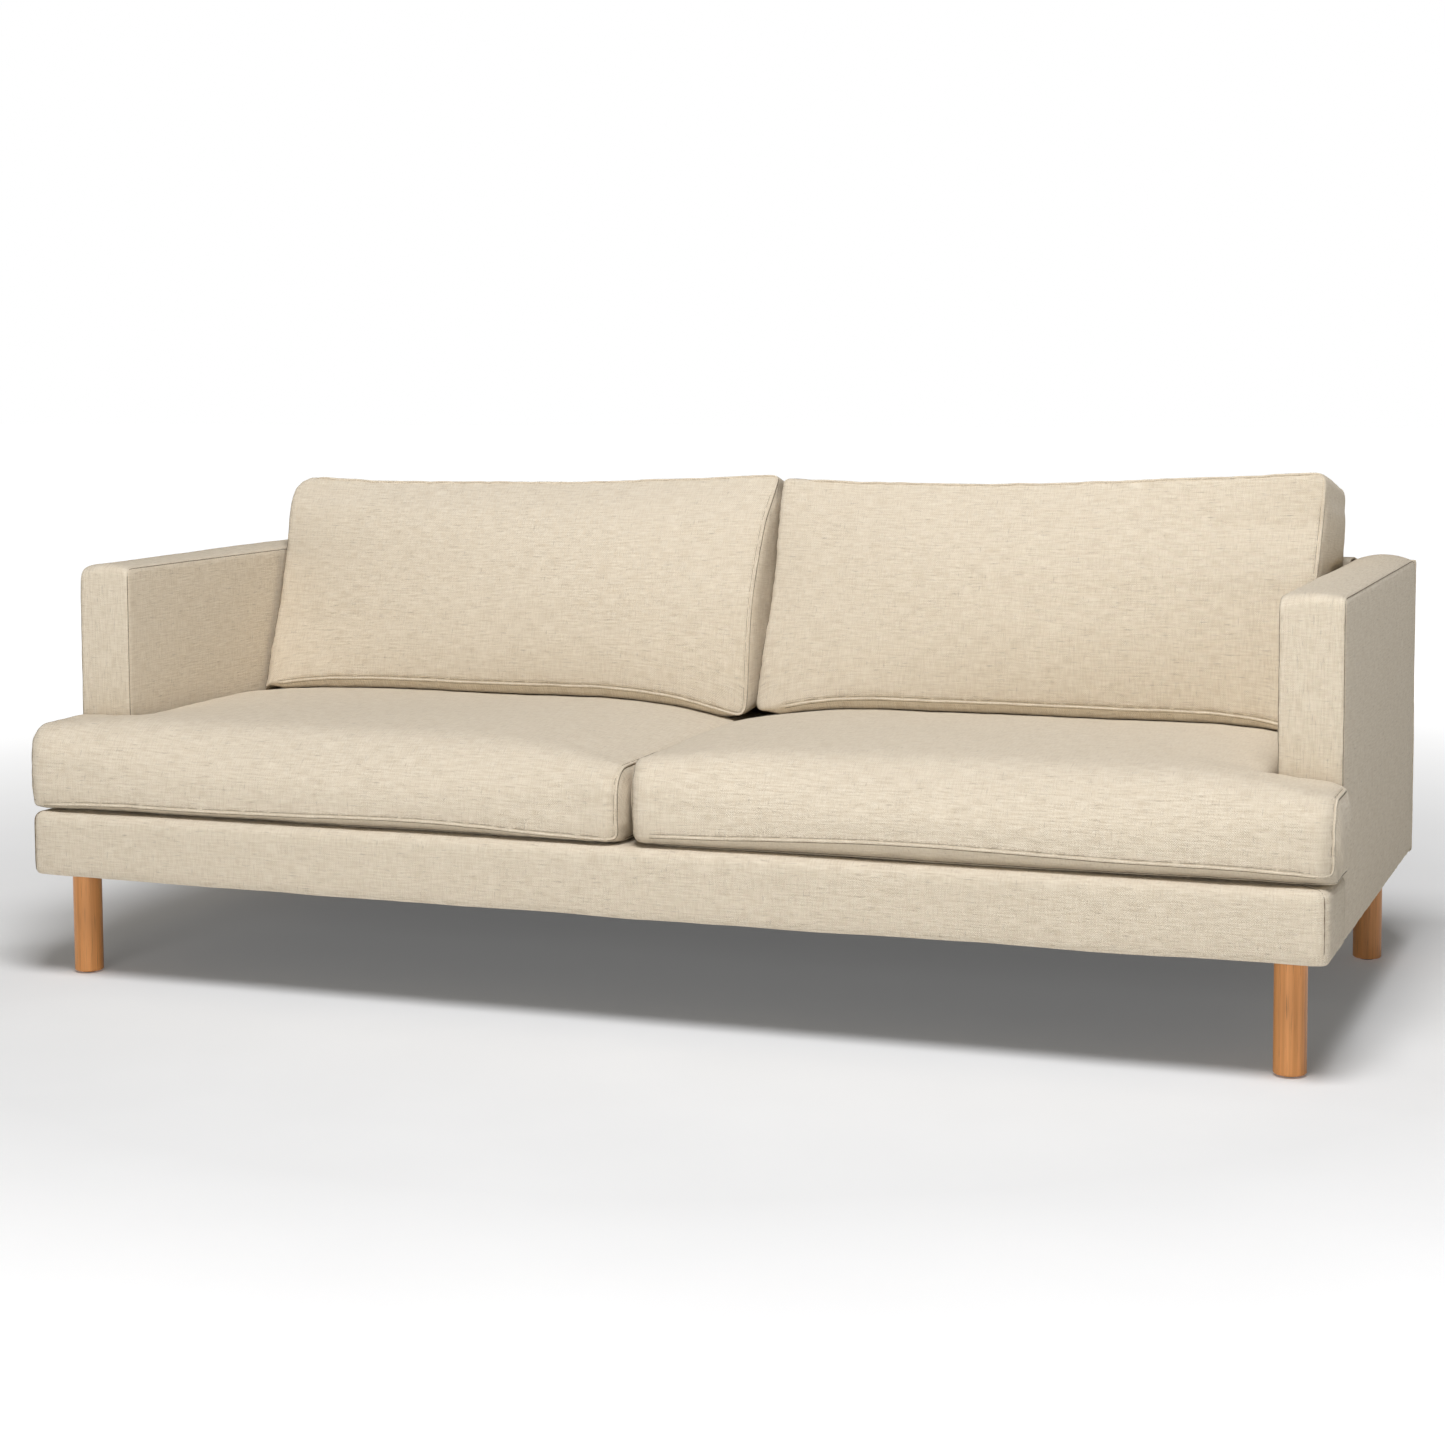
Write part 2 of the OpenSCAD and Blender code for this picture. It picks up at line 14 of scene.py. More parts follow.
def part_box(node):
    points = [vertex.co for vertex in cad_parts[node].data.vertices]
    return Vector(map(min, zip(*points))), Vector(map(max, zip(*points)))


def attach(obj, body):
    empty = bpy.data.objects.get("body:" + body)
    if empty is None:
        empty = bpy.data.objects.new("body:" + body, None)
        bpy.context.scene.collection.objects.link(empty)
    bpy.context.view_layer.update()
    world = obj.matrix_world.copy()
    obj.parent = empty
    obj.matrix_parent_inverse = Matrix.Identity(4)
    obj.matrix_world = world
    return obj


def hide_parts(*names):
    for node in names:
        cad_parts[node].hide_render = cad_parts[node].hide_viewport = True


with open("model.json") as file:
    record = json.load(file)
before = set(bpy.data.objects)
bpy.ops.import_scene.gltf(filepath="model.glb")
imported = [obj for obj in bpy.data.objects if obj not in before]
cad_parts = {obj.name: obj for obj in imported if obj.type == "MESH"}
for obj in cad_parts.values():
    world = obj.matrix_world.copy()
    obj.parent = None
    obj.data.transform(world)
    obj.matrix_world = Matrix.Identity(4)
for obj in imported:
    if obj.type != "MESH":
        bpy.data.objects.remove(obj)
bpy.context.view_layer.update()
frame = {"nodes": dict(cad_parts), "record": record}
SIDES = {"left": -1, "right": 1}

# Planes of the frame, on the right half
arm_low, arm_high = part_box("right_arm_cover")
border_low, border_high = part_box("front_border_cover")
seat_low, seat_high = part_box("right_seat_cover")
inside_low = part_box("back_cover")[0]
rear_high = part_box("outside_back_cover")[1]
ARM_X = arm_low.x
SIDE_X = arm_high.x
ARM_FRONT_Y = arm_low.y
DECK_Z = border_high.z
BODY_Z = border_low.z
ARM_Z = arm_high.z
SKIN = 0.0025

# How cushions are blown up: steps of the cloth, and rounds of smoothing of what they moved
CLOTH_FRAMES, SMOOTHINGS = 18, 14

# The dark lines of painted shade that stand for the shadow in the creases beside seams: their width beside a
# lip, in a fold, and where the cloth rolls over the seam, their offset where it rolls over, and the height
# and width of those of the base and the back
LIP_SHADE_LINE, FOLD_SHADE_LINE, ROLLED_SHADE_LINE, ROLLED_OFFSET = 0.0019, 0.0006, 0.0016, -0.007
PANEL_SHADE_LINE = (0.0012, 0.0016)

# The seat cushions' own shapes: the height and the corner radius of the top at the split and at the ear,
# how far each stops short of the middle, the height of its front seam, and how far its ear passes the base
SEATS = {
    "left": dict(seed=11, split_z=0.398, ear_z=0.418, split_r=0.010, ear_r=0.011,
                 tuck=0.011, hem=0.288, past=0.010),
    "right": dict(seed=29, split_z=0.410, ear_z=0.404, split_r=0.024, ear_r=0.018,
                  tuck=0.005, hem=0.297, past=0.004),
}
CROWN_Z = 0.421
NOSE_Y = seat_low.y + 0.009
NOSE_ROWS, SEAT_ROWS, SEAT_COLUMNS, EAR_COLUMNS = 22, 54, 80, 9

# The back cushions' own shapes: how far each stops short of the middle, how much its rear edge rises at the
# outer end, where the front panel's side edges run as (y, z) from foot to head, and its upper corners' radii
BACKS = {
    "left": dict(seed=47, split_x=0.0095, rise=0.0),
    "right": dict(seed=61, split_x=0.0045, rise=0.017),
}
EDGE_LINES = {
    ("left", "outer"): [(0.076, 0.430), (0.128, 0.539), (0.160, 0.646), (0.190, 0.747), (0.226, 0.799)],
    ("left", "split"): [(0.080, 0.440), (0.133, 0.599), (0.198, 0.732), (0.262, 0.807)],
    ("right", "split"): [(0.082, 0.440), (0.155, 0.597), (0.206, 0.732), (0.238, 0.803)],
    ("right", "outer"): [(0.076, 0.430), (0.092, 0.560), (0.108, 0.662), (0.142, 0.740), (0.148, 0.824)],
}
CORNERS = {
    ("left", "outer"): 0.040,
    ("left", "split"): 0.008,
    ("right", "split"): 0.010,
    ("right", "outer"): 0.017,
}
FOOT_CORNER, REAR_CORNER = 0.030, 0.020
BACK_WALL_X = ARM_X - 0.003
BACK_HEIGHT = 0.40
BACK_REAR = np.array([[0.316, 0.446], [0.394, 0.774]])
BACK_COLUMNS, BACK_ROWS = 80, 38
INSIDE_LEAN = (0.384 - 0.330) / (ARM_Z - DECK_Z)

# The arms' own shapes: the corner radius of the outer and of the inner panel
ARMS = {
    "left": dict(seed=83, outer_r=0.024, inner_r=0.010),
    "right": dict(seed=97, outer_r=0.011, inner_r=0.026),
}
ARM_COLUMNS, ARM_ROWS = 76, 44

# Strength of the surroundings, and watts of the lights
FILL = 0.06
KEY = 288
FRONT = 92


# ---------- number helpers ----------

def ease(t):
    """0 to 1 with a level start and end."""
    t = np.clip(t, 0, 1)
    return t * t * (3 - 2 * t)


def ripple(points, size, seed):
    """Smooth noise from about -1 to 1 at each point, with bumps of that size."""
    shift = Vector((seed * 7.31, seed * 3.17, seed * 5.53))
    flat = np.reshape(points, (-1, 3))
    values = [noise.noise(Vector(p) / size + shift) for p in flat]
    return np.reshape(values, np.shape(points)[:-1])


def along(points):
    """Distance along a line of points."""
    steps = np.linalg.norm(np.diff(points, axis=0), axis=1)
    return np.concatenate([[0], np.cumsum(steps)])


def resample(points, count):
    """That many points, evenly spaced along a polyline."""
    points = np.asarray(points, float)
    s = along(points)
    t = np.linspace(0, s[-1], count)
    return np.stack([np.interp(t, s, points[:, k]) for k in range(points.shape[1])], axis=1)


def arc(centre, radius, start, end, count=8):
    """Points of an arc in a plane, with its angles in degrees."""
    a = np.radians(np.linspace(start, end, count + 1))
    return [(centre[0] + radius * np.cos(t), centre[1] + radius * np.sin(t)) for t in a]


def unit(v):
    """Vectors scaled to length 1."""
    return v / np.maximum(np.linalg.norm(v, axis=-1, keepdims=True), 1e-12)


# ---------- mesh helpers ----------

def make_object(name, verts, faces, uvs, material):
    """A smooth-shaded object; uvs holds the weave's coordinates, in metres, for each corner of each face."""
    mesh = bpy.data.meshes.new(name)
    mesh.from_pydata([tuple(v) for v in verts], [], [tuple(f) for f in faces])
    layer = mesh.uv_layers.new(name="weave")
    layer.data.foreach_set("uv", np.asarray(uvs, np.float32).ravel())
    mesh.polygons.foreach_set("use_smooth", [True] * len(mesh.polygons))
    mesh.materials.append(material)
    obj = bpy.data.objects.new(name, mesh)
    bpy.context.scene.collection.objects.link(obj)
    bm = bmesh.new()
    bm.from_mesh(mesh)
    bmesh.ops.recalc_face_normals(bm, faces=bm.faces)
    bm.to_mesh(mesh)
    bm.free()
    return obj


def coords(obj):
    """The object's vertices as rows of numbers."""
    co = np.empty(len(obj.data.vertices) * 3, np.float32)
    obj.data.vertices.foreach_get("co", co)
    return co.reshape(-1, 3).astype(float)


def set_coords(obj, co):
    """Moves the object's vertices."""
    obj.data.vertices.foreach_set("co", co.astype(np.float32).ravel())
    obj.data.update()


def normals(obj):
    """The object's normals at its vertices."""
    n = np.empty(len(obj.data.vertices) * 3, np.float32)
    obj.data.vertex_normals.foreach_get("vector", n)
    return n.reshape(-1, 3).astype(float)


def bake_modifiers(obj):
    """Turns the object's modifiers into plain mesh."""
    bpy.context.view_layer.update()
    done = bpy.data.meshes.new_from_object(obj.evaluated_get(bpy.context.evaluated_depsgraph_get()))
    done.name = obj.name
    obj.modifiers.clear()
    obj.data = done


def subdivide(obj):
    """Smooths the object and divides each face in four."""
    modifier = obj.modifiers.new("smooth", "SUBSURF")
    modifier.levels = modifier.render_levels = 1
    bake_modifiers(obj)


def sheet_faces(index, keep):
    """Quads of the kept cells of a grid of vertex numbers."""
    cells = np.argwhere(keep)
    return [(index[i, j], index[i + 1, j], index[i + 1, j + 1], index[i, j + 1]) for i, j in cells]


def outline(faces):
    """The closed line of vertices round a set of quads, in order."""
    edges = {(f[k], f[(k + 1) % 4]) for f in faces for k in range(4)}
    follows = {a: b for a, b in edges if (b, a) not in edges}
    loop = [min(follows)]
    while follows[loop[-1]] != loop[0]:
        loop.append(follows[loop[-1]])
    return np.array(loop)


def slab(name, material, keep, top, bottom, rows, bulge, fullness=2.0):
    """A closed piece: two sheets over the kept cells of a grid, and a boxing wall between their outlines.

    bulge(points) is how far the wall stands out halfway, at each point of the top sheet's outline.
    Returns the object and its two seam lines as vertex numbers.
    """
    nu, nv = keep.shape
    used = np.zeros((nu + 1, nv + 1), bool)
    for i, j in ((0, 0), (1, 0), (0, 1), (1, 1)):
        used[i:i + nu, j:j + nv] |= keep
    index = np.full(used.shape, -1)
    count = int(used.sum())
    index[used] = np.arange(count)
    upper = sheet_faces(index, keep)
    loop = outline(upper)
    m = len(loop)
    a, b = top[used][loop], bottom[used][loop]
    middle = (a + b) / 2
    out = unit(np.cross(np.roll(middle, -1, 0) - np.roll(middle, 1, 0), b - a))
    away = middle - middle.mean(0)
    if (out * away).sum() < 0:
        out = -out
    w = np.linspace(0, 1, rows + 1)[1:-1, None, None]
    profile = 1 - np.abs(2 * w - 1) ** fullness
    wall = a + (b - a) * w + out * np.asarray(bulge(a)).reshape(1, -1, 1) * profile
    verts = np.concatenate([top[used], bottom[used], wall.reshape(-1, 3)])
    rings = [loop] + [2 * count + r * m + np.arange(m) for r in range(rows - 1)] + [loop + count]
    faces = list(upper) + [tuple(v + count for v in reversed(f)) for f in upper]
    grid_u = np.concatenate([[0], np.cumsum(np.linalg.norm(np.diff(top.mean(1), axis=0), axis=1))])
    grid_v = along(top[nu // 3])
    flat_uv = {index[i, j]: (grid_u[i], grid_v[j]) for i, j in np.argwhere(used)}
    uvs = [flat_uv[v] for f in upper for v in f]
    uvs += [flat_uv[v] for f in upper for v in reversed(f)]
    s = along(np.concatenate([a, a[:1]]))
    h = np.linspace(0, 1, rows + 1) * np.linalg.norm(b - a, axis=1).mean()
    for r in range(rows):
        for k in range(m):
            n = (k + 1) % m
            faces.append((rings[r][k], rings[r + 1][k], rings[r + 1][n], rings[r][n]))
            uvs += [(s[k], h[r]), (s[k], h[r + 1]), (s[k + 1], h[r + 1]), (s[k + 1], h[r])]
    obj = make_object(name, verts, faces, uvs, material)
    return obj, loop, loop + count


def strip(name, material, points, thick=SKIN):
    """An upholstered skin over a grid of points, its thickness laid behind its outer face."""
    nu, nv = points.shape[0] - 1, points.shape[1] - 1
    index = np.arange((nu + 1) * (nv + 1)).reshape(nu + 1, nv + 1)
    faces = sheet_faces(index, np.ones((nu, nv), bool))
    u = along(points[:, nv // 2])
    v = along(points[nu // 2])
    uvs = [(u[n // (nv + 1)], v[n % (nv + 1)]) for f in faces for n in f]
    obj = make_object(name, points.reshape(-1, 3), faces, uvs, material)
    solid = obj.modifiers.new("thickness", "SOLIDIFY")
    solid.thickness = thick
    solid.offset = -1
    bake_modifiers(obj)
    return obj


def inflate(piece, held, pressure, cap):
    """Blows the piece up as cloth between its held points, each point moving by less than cap."""
    group = piece.vertex_groups.new(name="held")
    for weight in np.unique(held):
        group.add(np.flatnonzero(held == weight).tolist(), float(weight), "REPLACE")
    cloth = piece.modifiers.new("cloth", "CLOTH")
    cloth.settings.quality = 4
    cloth.settings.mass = 0.4
    cloth.settings.tension_stiffness = 20
    cloth.settings.compression_stiffness = 20
    cloth.settings.shear_stiffness = 8
    cloth.settings.bending_stiffness = 0.6
    cloth.settings.vertex_group_mass = "held"
    cloth.settings.use_pressure = True
    cloth.settings.uniform_pressure_force = pressure
    cloth.settings.effector_weights.gravity = 0
    cloth.collision_settings.use_collision = False
    cloth.point_cache.frame_start = 1
    cloth.point_cache.frame_end = CLOTH_FRAMES
    start = coords(piece)
    for step in range(1, CLOTH_FRAMES + 1):
        bpy.context.scene.frame_set(step)
    blown = piece.evaluated_get(bpy.context.evaluated_depsgraph_get())
    moved = np.array([v.co for v in blown.data.vertices]) - start
    ends = np.empty(2 * len(piece.data.edges), int)
    piece.data.edges.foreach_get("vertices", ends)
    a, b = ends.reshape(-1, 2).T
    degree = np.bincount(ends, minlength=len(start))[:, None]
    free = (held < 1)[:, None]
    for _ in range(SMOOTHINGS):
        total = np.zeros_like(moved)
        np.add.at(total, a, moved[b])
        np.add.at(total, b, moved[a])
        moved = (moved + total / degree) / 2 * free
    length = np.linalg.norm(moved, axis=1, keepdims=True)
    capped = cap * np.tanh(length / cap)
    piece.modifiers.remove(cloth)
    piece.vertex_groups.remove(group)
    bpy.context.scene.frame_set(1)
    set_coords(piece, start + moved * capped / np.maximum(length, 1e-9))


def surface(obj):
    """A search tree of the object's faces."""
    faces = [tuple(p.vertices) for p in obj.data.polygons]
    return bvhtree.BVHTree.FromPolygons([tuple(v) for v in coords(obj)], faces)


# ---------- materials ----------

class Material:
    """A node material that is built up socket by socket."""

    def __init__(self, name, roughness=0.8, **fixed):
        self.material = bpy.data.materials.new(name)
        self.material.use_nodes = True
        self.tree = self.material.node_tree
        self.surface = next(n for n in self.tree.nodes if n.type == "BSDF_PRINCIPLED")
        self.surface.inputs["Roughness"].default_value = roughness
        for socket, value in fixed.items():
            self.surface.inputs[socket.replace("_", " ")].default_value = value

    def node(self, kind, settings=None, **inputs):
        made = self.tree.nodes.new(kind)
        for key, value in (settings or {}).items():
            setattr(made, key, value)
        for key, value in inputs.items():
            socket = made.inputs[int(key[1:])] if key[0] == "i" and key[1:].isdigit() else made.inputs[key]
            self.put(value, socket)
        return made.outputs[0]

    def put(self, value, socket):
        if isinstance(value, bpy.types.NodeSocket):
            self.tree.links.new(value, socket)
        else:
            socket.default_value = value

    def math(self, operation, a, b=0.0, clamp=False):
        return self.node("ShaderNodeMath", {"operation": operation, "use_clamp": clamp}, i0=a, i1=b)

    def scaled(self, vector, scale, shift=(0, 0, 0)):
        return self.node("ShaderNodeMapping", Vector=vector, Scale=scale, Location=shift)

    def noise(self, vector, scale, detail=2.0):
        return self.node("ShaderNodeTexNoise", Vector=vector, Scale=scale, Detail=detail)

    def spread(self, value, low, high, out_low=0.0, out_high=1.0):
        """The value's range from low to high, stretched to another range and held there."""
        made = self.tree.nodes.new("ShaderNodeMapRange")
        for k, v in enumerate((value, low, high, out_low, out_high)):
            self.put(v, made.inputs[k])
        return made.outputs[0]

    def mix(self, factor, a, b):
        made = self.tree.nodes.new("ShaderNodeMix")
        made.data_type = "RGBA"
        for k, v in ((0, factor), (6, a), (7, b)):
            self.put(v, made.inputs[k])
        return made.outputs[2]

    def bump(self, height, distance, strength=1.0):
        self.tree.links.new(self.node("ShaderNodeBump", Height=height, Distance=distance, Strength=strength),
                            self.surface.inputs["Normal"])

    def finish(self, colour):
        self.put(colour, self.surface.inputs["Base Color"])
        return self.material


def object_point(m):
    """The place on the piece, in metres, that a material can vary with."""
    return m.tree.nodes.new("ShaderNodeTexCoord").outputs["Object"]


def linen_material(name):
    """Undyed linen in a coarse plain weave: uneven cream yarns with grey-brown slubs both ways."""
    cream = (0.728, 0.640, 0.512, 1)
    pale = (0.835, 0.755, 0.605, 1)
    straw = (0.560, 0.455, 0.312, 1)
    slub = (0.300, 0.245, 0.190, 1)
    # Noise cells per metre across the yarns and along them; the weave is in radians per metre
    yarns, warp_cells, weft_cells = 380, 45, 34
    slubs, warp_slubs, weft_slubs = 360, 60, 48
    weave = 1850
    m = Material(name, roughness=0.92, Sheen_Weight=0.12, Sheen_Roughness=0.5, Specular_IOR_Level=0.12)
    uv = m.node("ShaderNodeUVMap", {"uv_map": "weave"})
    warp = m.noise(m.scaled(uv, (yarns, warp_cells, 1)), 1.0, 1.0)
    weft = m.noise(m.scaled(uv, (weft_cells, yarns, 1), (31, 17, 0)), 1.0, 1.0)
    along_u = m.node("ShaderNodeSeparateXYZ", Vector=m.scaled(uv, (weave, weave, 1)))
    along_v = m.tree.nodes[-1].outputs["Y"]
    over = m.math("MULTIPLY", m.math("SINE", along_u), m.math("SINE", along_v))
    on_top = m.spread(over, -0.5, 0.5)
    hidden = m.math("SUBTRACT", 1.0, on_top)
    yarn = m.math("ADD", m.math("MULTIPLY", warp, on_top), m.math("MULTIPLY", weft, hidden))
    colour = m.mix(m.spread(yarn, 0.34, 0.64), straw, pale)
    colour = m.mix(0.56, colour, cream)
    warp_slub = m.noise(m.scaled(uv, (slubs, warp_slubs, 1), (5, 9, 0)), 1.0, 2.0)
    weft_slub = m.noise(m.scaled(uv, (weft_slubs, slubs, 1), (71, 43, 0)), 1.0, 2.0)
    warp_fleck = m.spread(warp_slub, 0.63, 0.78, 0, 0.42)
    weft_fleck = m.spread(weft_slub, 0.61, 0.78, 0, 0.52)
    fleck = m.math("ADD", warp_fleck, weft_fleck, True)
    colour = m.mix(fleck, colour, slub)
    cloudy = m.noise(m.scaled(uv, (9, 9, 1)), 1.0, 3.0)
    colour = m.mix(m.spread(cloudy, 0.3, 0.7, 0.0, 0.05), colour, straw)
    height = m.math("ADD", m.math("MULTIPLY", yarn, 1.5), m.math("MULTIPLY", over, 0.4))
    height = m.math("ADD", height, m.math("MULTIPLY", fleck, 0.5))
    m.bump(height, 0.0009, 0.8)
    return m.finish(colour)


def thread_material():
    """The thread of the topstitching."""
    m = Material("linen_thread", roughness=0.7)
    twist = m.noise(m.scaled(object_point(m), (900, 900, 900)), 1.0)
    m.bump(twist, 0.0002, 0.5)
    return m.finish(m.mix(m.spread(twist, 0.35, 0.65), (0.50, 0.41, 0.31, 1), (0.66, 0.56, 0.44, 1)))


def oak_material():
    """Oiled oak with its grain along the leg."""
    light = (0.76, 0.330, 0.098, 1)
    dark = (0.52, 0.205, 0.053, 1)
    pore = (0.17, 0.075, 0.026, 1)
    m = Material("oiled_oak", roughness=0.42, Coat_Weight=0.08, Coat_Roughness=0.35)
    place = object_point(m)
    bent = m.noise(m.scaled(place, (9, 9, 1.6)), 1.0, 3.0)
    bands = m.noise(m.scaled(place, (150, 150, 2.2), (0, 0, 3)), 1.0, 4.0)
    fine = m.noise(m.scaled(place, (900, 900, 18)), 1.0, 2.0)
    colour = m.mix(m.spread(bands, 0.33, 0.68), light, dark)
    colour = m.mix(m.spread(bent, 0.3, 0.7, 0.0, 0.45), colour, light)
    pores = m.spread(fine, 0.60, 0.72, 0.0, 0.6)
    colour = m.mix(pores, colour, pore)
    m.bump(m.math("SUBTRACT", bands, pores), 0.0003, 0.5)
    return m.finish(colour)


def timber_material():
    """Sawn softwood, with its grain along X."""
    m = Material("sawn_pine", roughness=0.75)
    place = object_point(m)
    rings = m.noise(m.scaled(place, (8, 60, 60)), 1.0, 3.0)
    saw = m.noise(m.scaled(place, (260, 30, 30)), 1.0, 1.0)
    m.bump(saw, 0.0003, 0.6)
    return m.finish(m.mix(m.spread(rings, 0.35, 0.65), (0.66, 0.47, 0.26, 1), (0.47, 0.29, 0.13, 1)))


def plain_material(name, dark, light, scale, roughness, depth, metallic=0):
    """Two close colours and a bump from one noise, for the pieces that are seldom seen."""
    m = Material(name, roughness=roughness, Metallic=metallic)
    grain = m.noise(m.scaled(object_point(m), scale), 1.0, 3.0)
    m.bump(grain, depth, 0.7)
    return m.finish(m.mix(m.spread(grain, 0.35, 0.65), (*dark, 1), (*light, 1)))


PLAIN = {
    # slot: name, dark, light, noise scale, roughness, bump depth, metallic
    "hardboard": ("hardboard", (0.13, 0.07, 0.035), (0.24, 0.14, 0.07), (180,) * 3, 0.6, 0.0002, 0),
    "foam": ("foam", (0.72, 0.66, 0.45), (0.86, 0.81, 0.62), (420,) * 3, 0.95, 0.0006, 0),
    "felt": ("grey_felt", (0.10, 0.10, 0.10), (0.26, 0.25, 0.24), (300,) * 3, 1.0, 0.0006, 0),
    "dust_cloth": ("black_spunbond", (0.012, 0.012, 0.013), (0.03, 0.03, 0.032), (520,) * 3,
                   0.95, 0.0003, 0),
    "webbing": ("elastic_webbing", (0.02, 0.018, 0.016), (0.06, 0.055, 0.05), (700, 700, 90),
                0.8, 0.0004, 0),
    "spring_steel": ("spring_wire", (0.14, 0.145, 0.15), (0.24, 0.245, 0.25), (90,) * 3, 0.38, 0.00005, 1),
    "zinc_steel": ("zinc_plate", (0.50, 0.51, 0.53), (0.64, 0.65, 0.67), (240,) * 3, 0.34, 0.00005, 1),
    "zip_metal": ("nickel", (0.46, 0.45, 0.42), (0.60, 0.59, 0.56), (300,) * 3, 0.28, 0.00004, 1),
    "zip_tape": ("zip_tape", (0.42, 0.34, 0.24), (0.58, 0.49, 0.37), (60, 900, 900), 0.85, 0.0003, 0),
    "glide_plastic": ("glide_plastic", (0.03, 0.028, 0.026), (0.055, 0.05, 0.047), (400,) * 3,
                      0.55, 0.0001, 0),
    "linen": ("deck_linen", (0.50, 0.41, 0.31), (0.70, 0.60, 0.48), (40, 500, 1), 0.92, 0.0004, 0),
}
LINEN = linen_material("oatmeal_linen")
THREAD = thread_material()
# Painted shade: a dark brown for the thin lines that stand in for the shadow in seam creases and folds
SEAM_SHADE = plain_material("painted_seam_shade", (0.15, 0.115, 0.075), (0.27, 0.215, 0.15), (260,) * 3, 0.95, 0.0002)
FINISHES = {"leg_oak": oak_material(), "frame_wood": timber_material()}
FINISHES |= {slot: plain_material(*row) for slot, row in PLAIN.items()}


def dress_frame():
    """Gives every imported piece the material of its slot."""
    slots = {s["node"]: s["material_slot"] for s in frame["record"]["subparts"]}
    for name, obj in frame["nodes"].items():
        material = FINISHES[slots[name]]
        if obj.material_slots:
            for place in obj.material_slots:
                place.material = material
        else:
            obj.data.materials.append(material)


# ---------- seams ----------

def seam(name, path, out, height, width, closed=True, material=None):
    """A flanged seam: a narrow welt that stands height out of the cloth along a line."""
    count = len(path)
    if closed:
        ahead, behind = np.roll(path, -1, 0), np.roll(path, 1, 0)
    else:
        ahead = np.concatenate([path[1:], path[-1:]])
        behind = np.concatenate([path[:1], path[:-1]])
    tangent = unit(ahead - behind)
    side = unit(np.cross(tangent, out))
    up = np.cross(side, tangent)
    section = [(-0.62, -0.8), (-0.55, 0.35), (-0.34, 0.9), (0.34, 0.9), (0.55, 0.35), (0.62, -0.8)]
    steps = along(np.concatenate([path, path[:1]]) if closed else path)
    sway = 1 + 0.18 * ripple(path, 0.035, 4)
    if not closed:
        sway *= ease(0.1 + np.minimum(steps, steps[-1] - steps) / 0.02)
    rows = [path + side * (s * width) + up * (h * height * sway)[:, None] for s, h in section]
    n = len(section)
    verts = np.stack(rows, axis=1).reshape(-1, 3)
    faces, uvs = [], []
    for k in range(count if closed else count - 1):
        for r in range(n):
            here, there = k * n, (k + 1) % count * n
            q = (r + 1) % n
            faces.append((here + r, here + q, there + q, there + r))
            v0, v1 = r * width * 0.6, (r + 1) * width * 0.6
            uvs += [(steps[k], v0), (steps[k], v1), (steps[k + 1], v1), (steps[k + 1], v0)]
    if not closed:
        for k in (0, count - 1):
            faces.append(tuple(k * n + r for r in range(n)))
            uvs += [(steps[k], r * width * 0.6) for r in range(n)]
    obj = make_object(name, verts, faces, uvs, material or LINEN)
    subdivide(obj)
    return obj


def stitches(name, piece_tree, path, out, offset, closed=True):
    """A line of topstitching on the cloth beside a seam, offset to one side of it."""
    length, gap, thick = 0.0042, 0.0024, 0.0006
    line = np.concatenate([path, path[:1]]) if closed else path
    ahead = np.concatenate([line[1:], line[-1:]])
    behind = np.concatenate([line[:1], line[:-1]])
    out = np.concatenate([out, out[:1]]) if closed else out
    target = line + panel_side(line, unit(ahead - behind), out) * offset
    total = along(target)
    number = int(total[-1] / (length + gap))
    starts = (np.arange(number) + 0.5) * (length + gap)
    verts, faces, uvs = [], [], []
    for s in starts:
        ends = []
        for t in (s, s + length):
            guess = [np.interp(t, total, target[:, k]) for k in range(3)]
            ends.append(piece_tree.find_nearest(Vector(guess))[:2])
        (p, facing), (q, _) = ends
        run = (q - p).normalized()
        across = run.cross(facing).normalized() * thick
        lift = facing.normalized() * thick
        base = len(verts)
        mid = (p + q) / 2
        verts += [p - lift * 0.4, mid + across, mid + lift * 1.5, mid - across, q - lift * 0.4]
        for a, b in ((1, 2), (2, 3), (3, 1)):
            faces += [(base, base + a, base + b), (base + 4, base + b, base + a)]
            uvs += [(0, 0)] * 6
    return make_object(name, verts, faces, uvs, THREAD)


def panel_side(path, tangent, out):
    """The direction along the cloth, across a seam, that leads into the panel the seam goes round."""
    side = unit(np.cross(tangent, out))
    return side * np.sign((side * (path.mean(0) - path)).sum())


def painted_shade_line(name, tree, path, out, offset, size, closed=True):
    """A dark line of painted shade where two panels meet, standing in for the shadow in the crease, snapped
    to the cloth at an offset from the seam's own line.
    """
    tangent = unit(np.gradient(path, axis=0))
    target = path + panel_side(path, tangent, out) * offset
    found = [tree.find_nearest(Vector(p))[:2] for p in target]
    line = np.array([spot for spot, _ in found])
    facing = np.array([normal for _, normal in found])
    return seam(name, line, facing, 0.45 * size, size, closed, SEAM_SHADE)


def runs_of(loop, wanted, closed=True):
    """The stretches of a line where wanted is true, each with whether it closes on itself."""
    if wanted.all():
        return [(loop, closed)]
    if closed:
        start = next((k for k in range(len(loop)) if wanted[k] and not wanted[k - 1]), 0)
        loop, wanted = np.roll(loop, -start), np.roll(wanted, -start)
    cuts = np.flatnonzero(np.diff(wanted)) + 1
    parts = zip(np.split(loop, cuts), np.split(wanted, cuts))
    return [(part, False) for part, flags in parts if flags[0] and len(part) > 6]


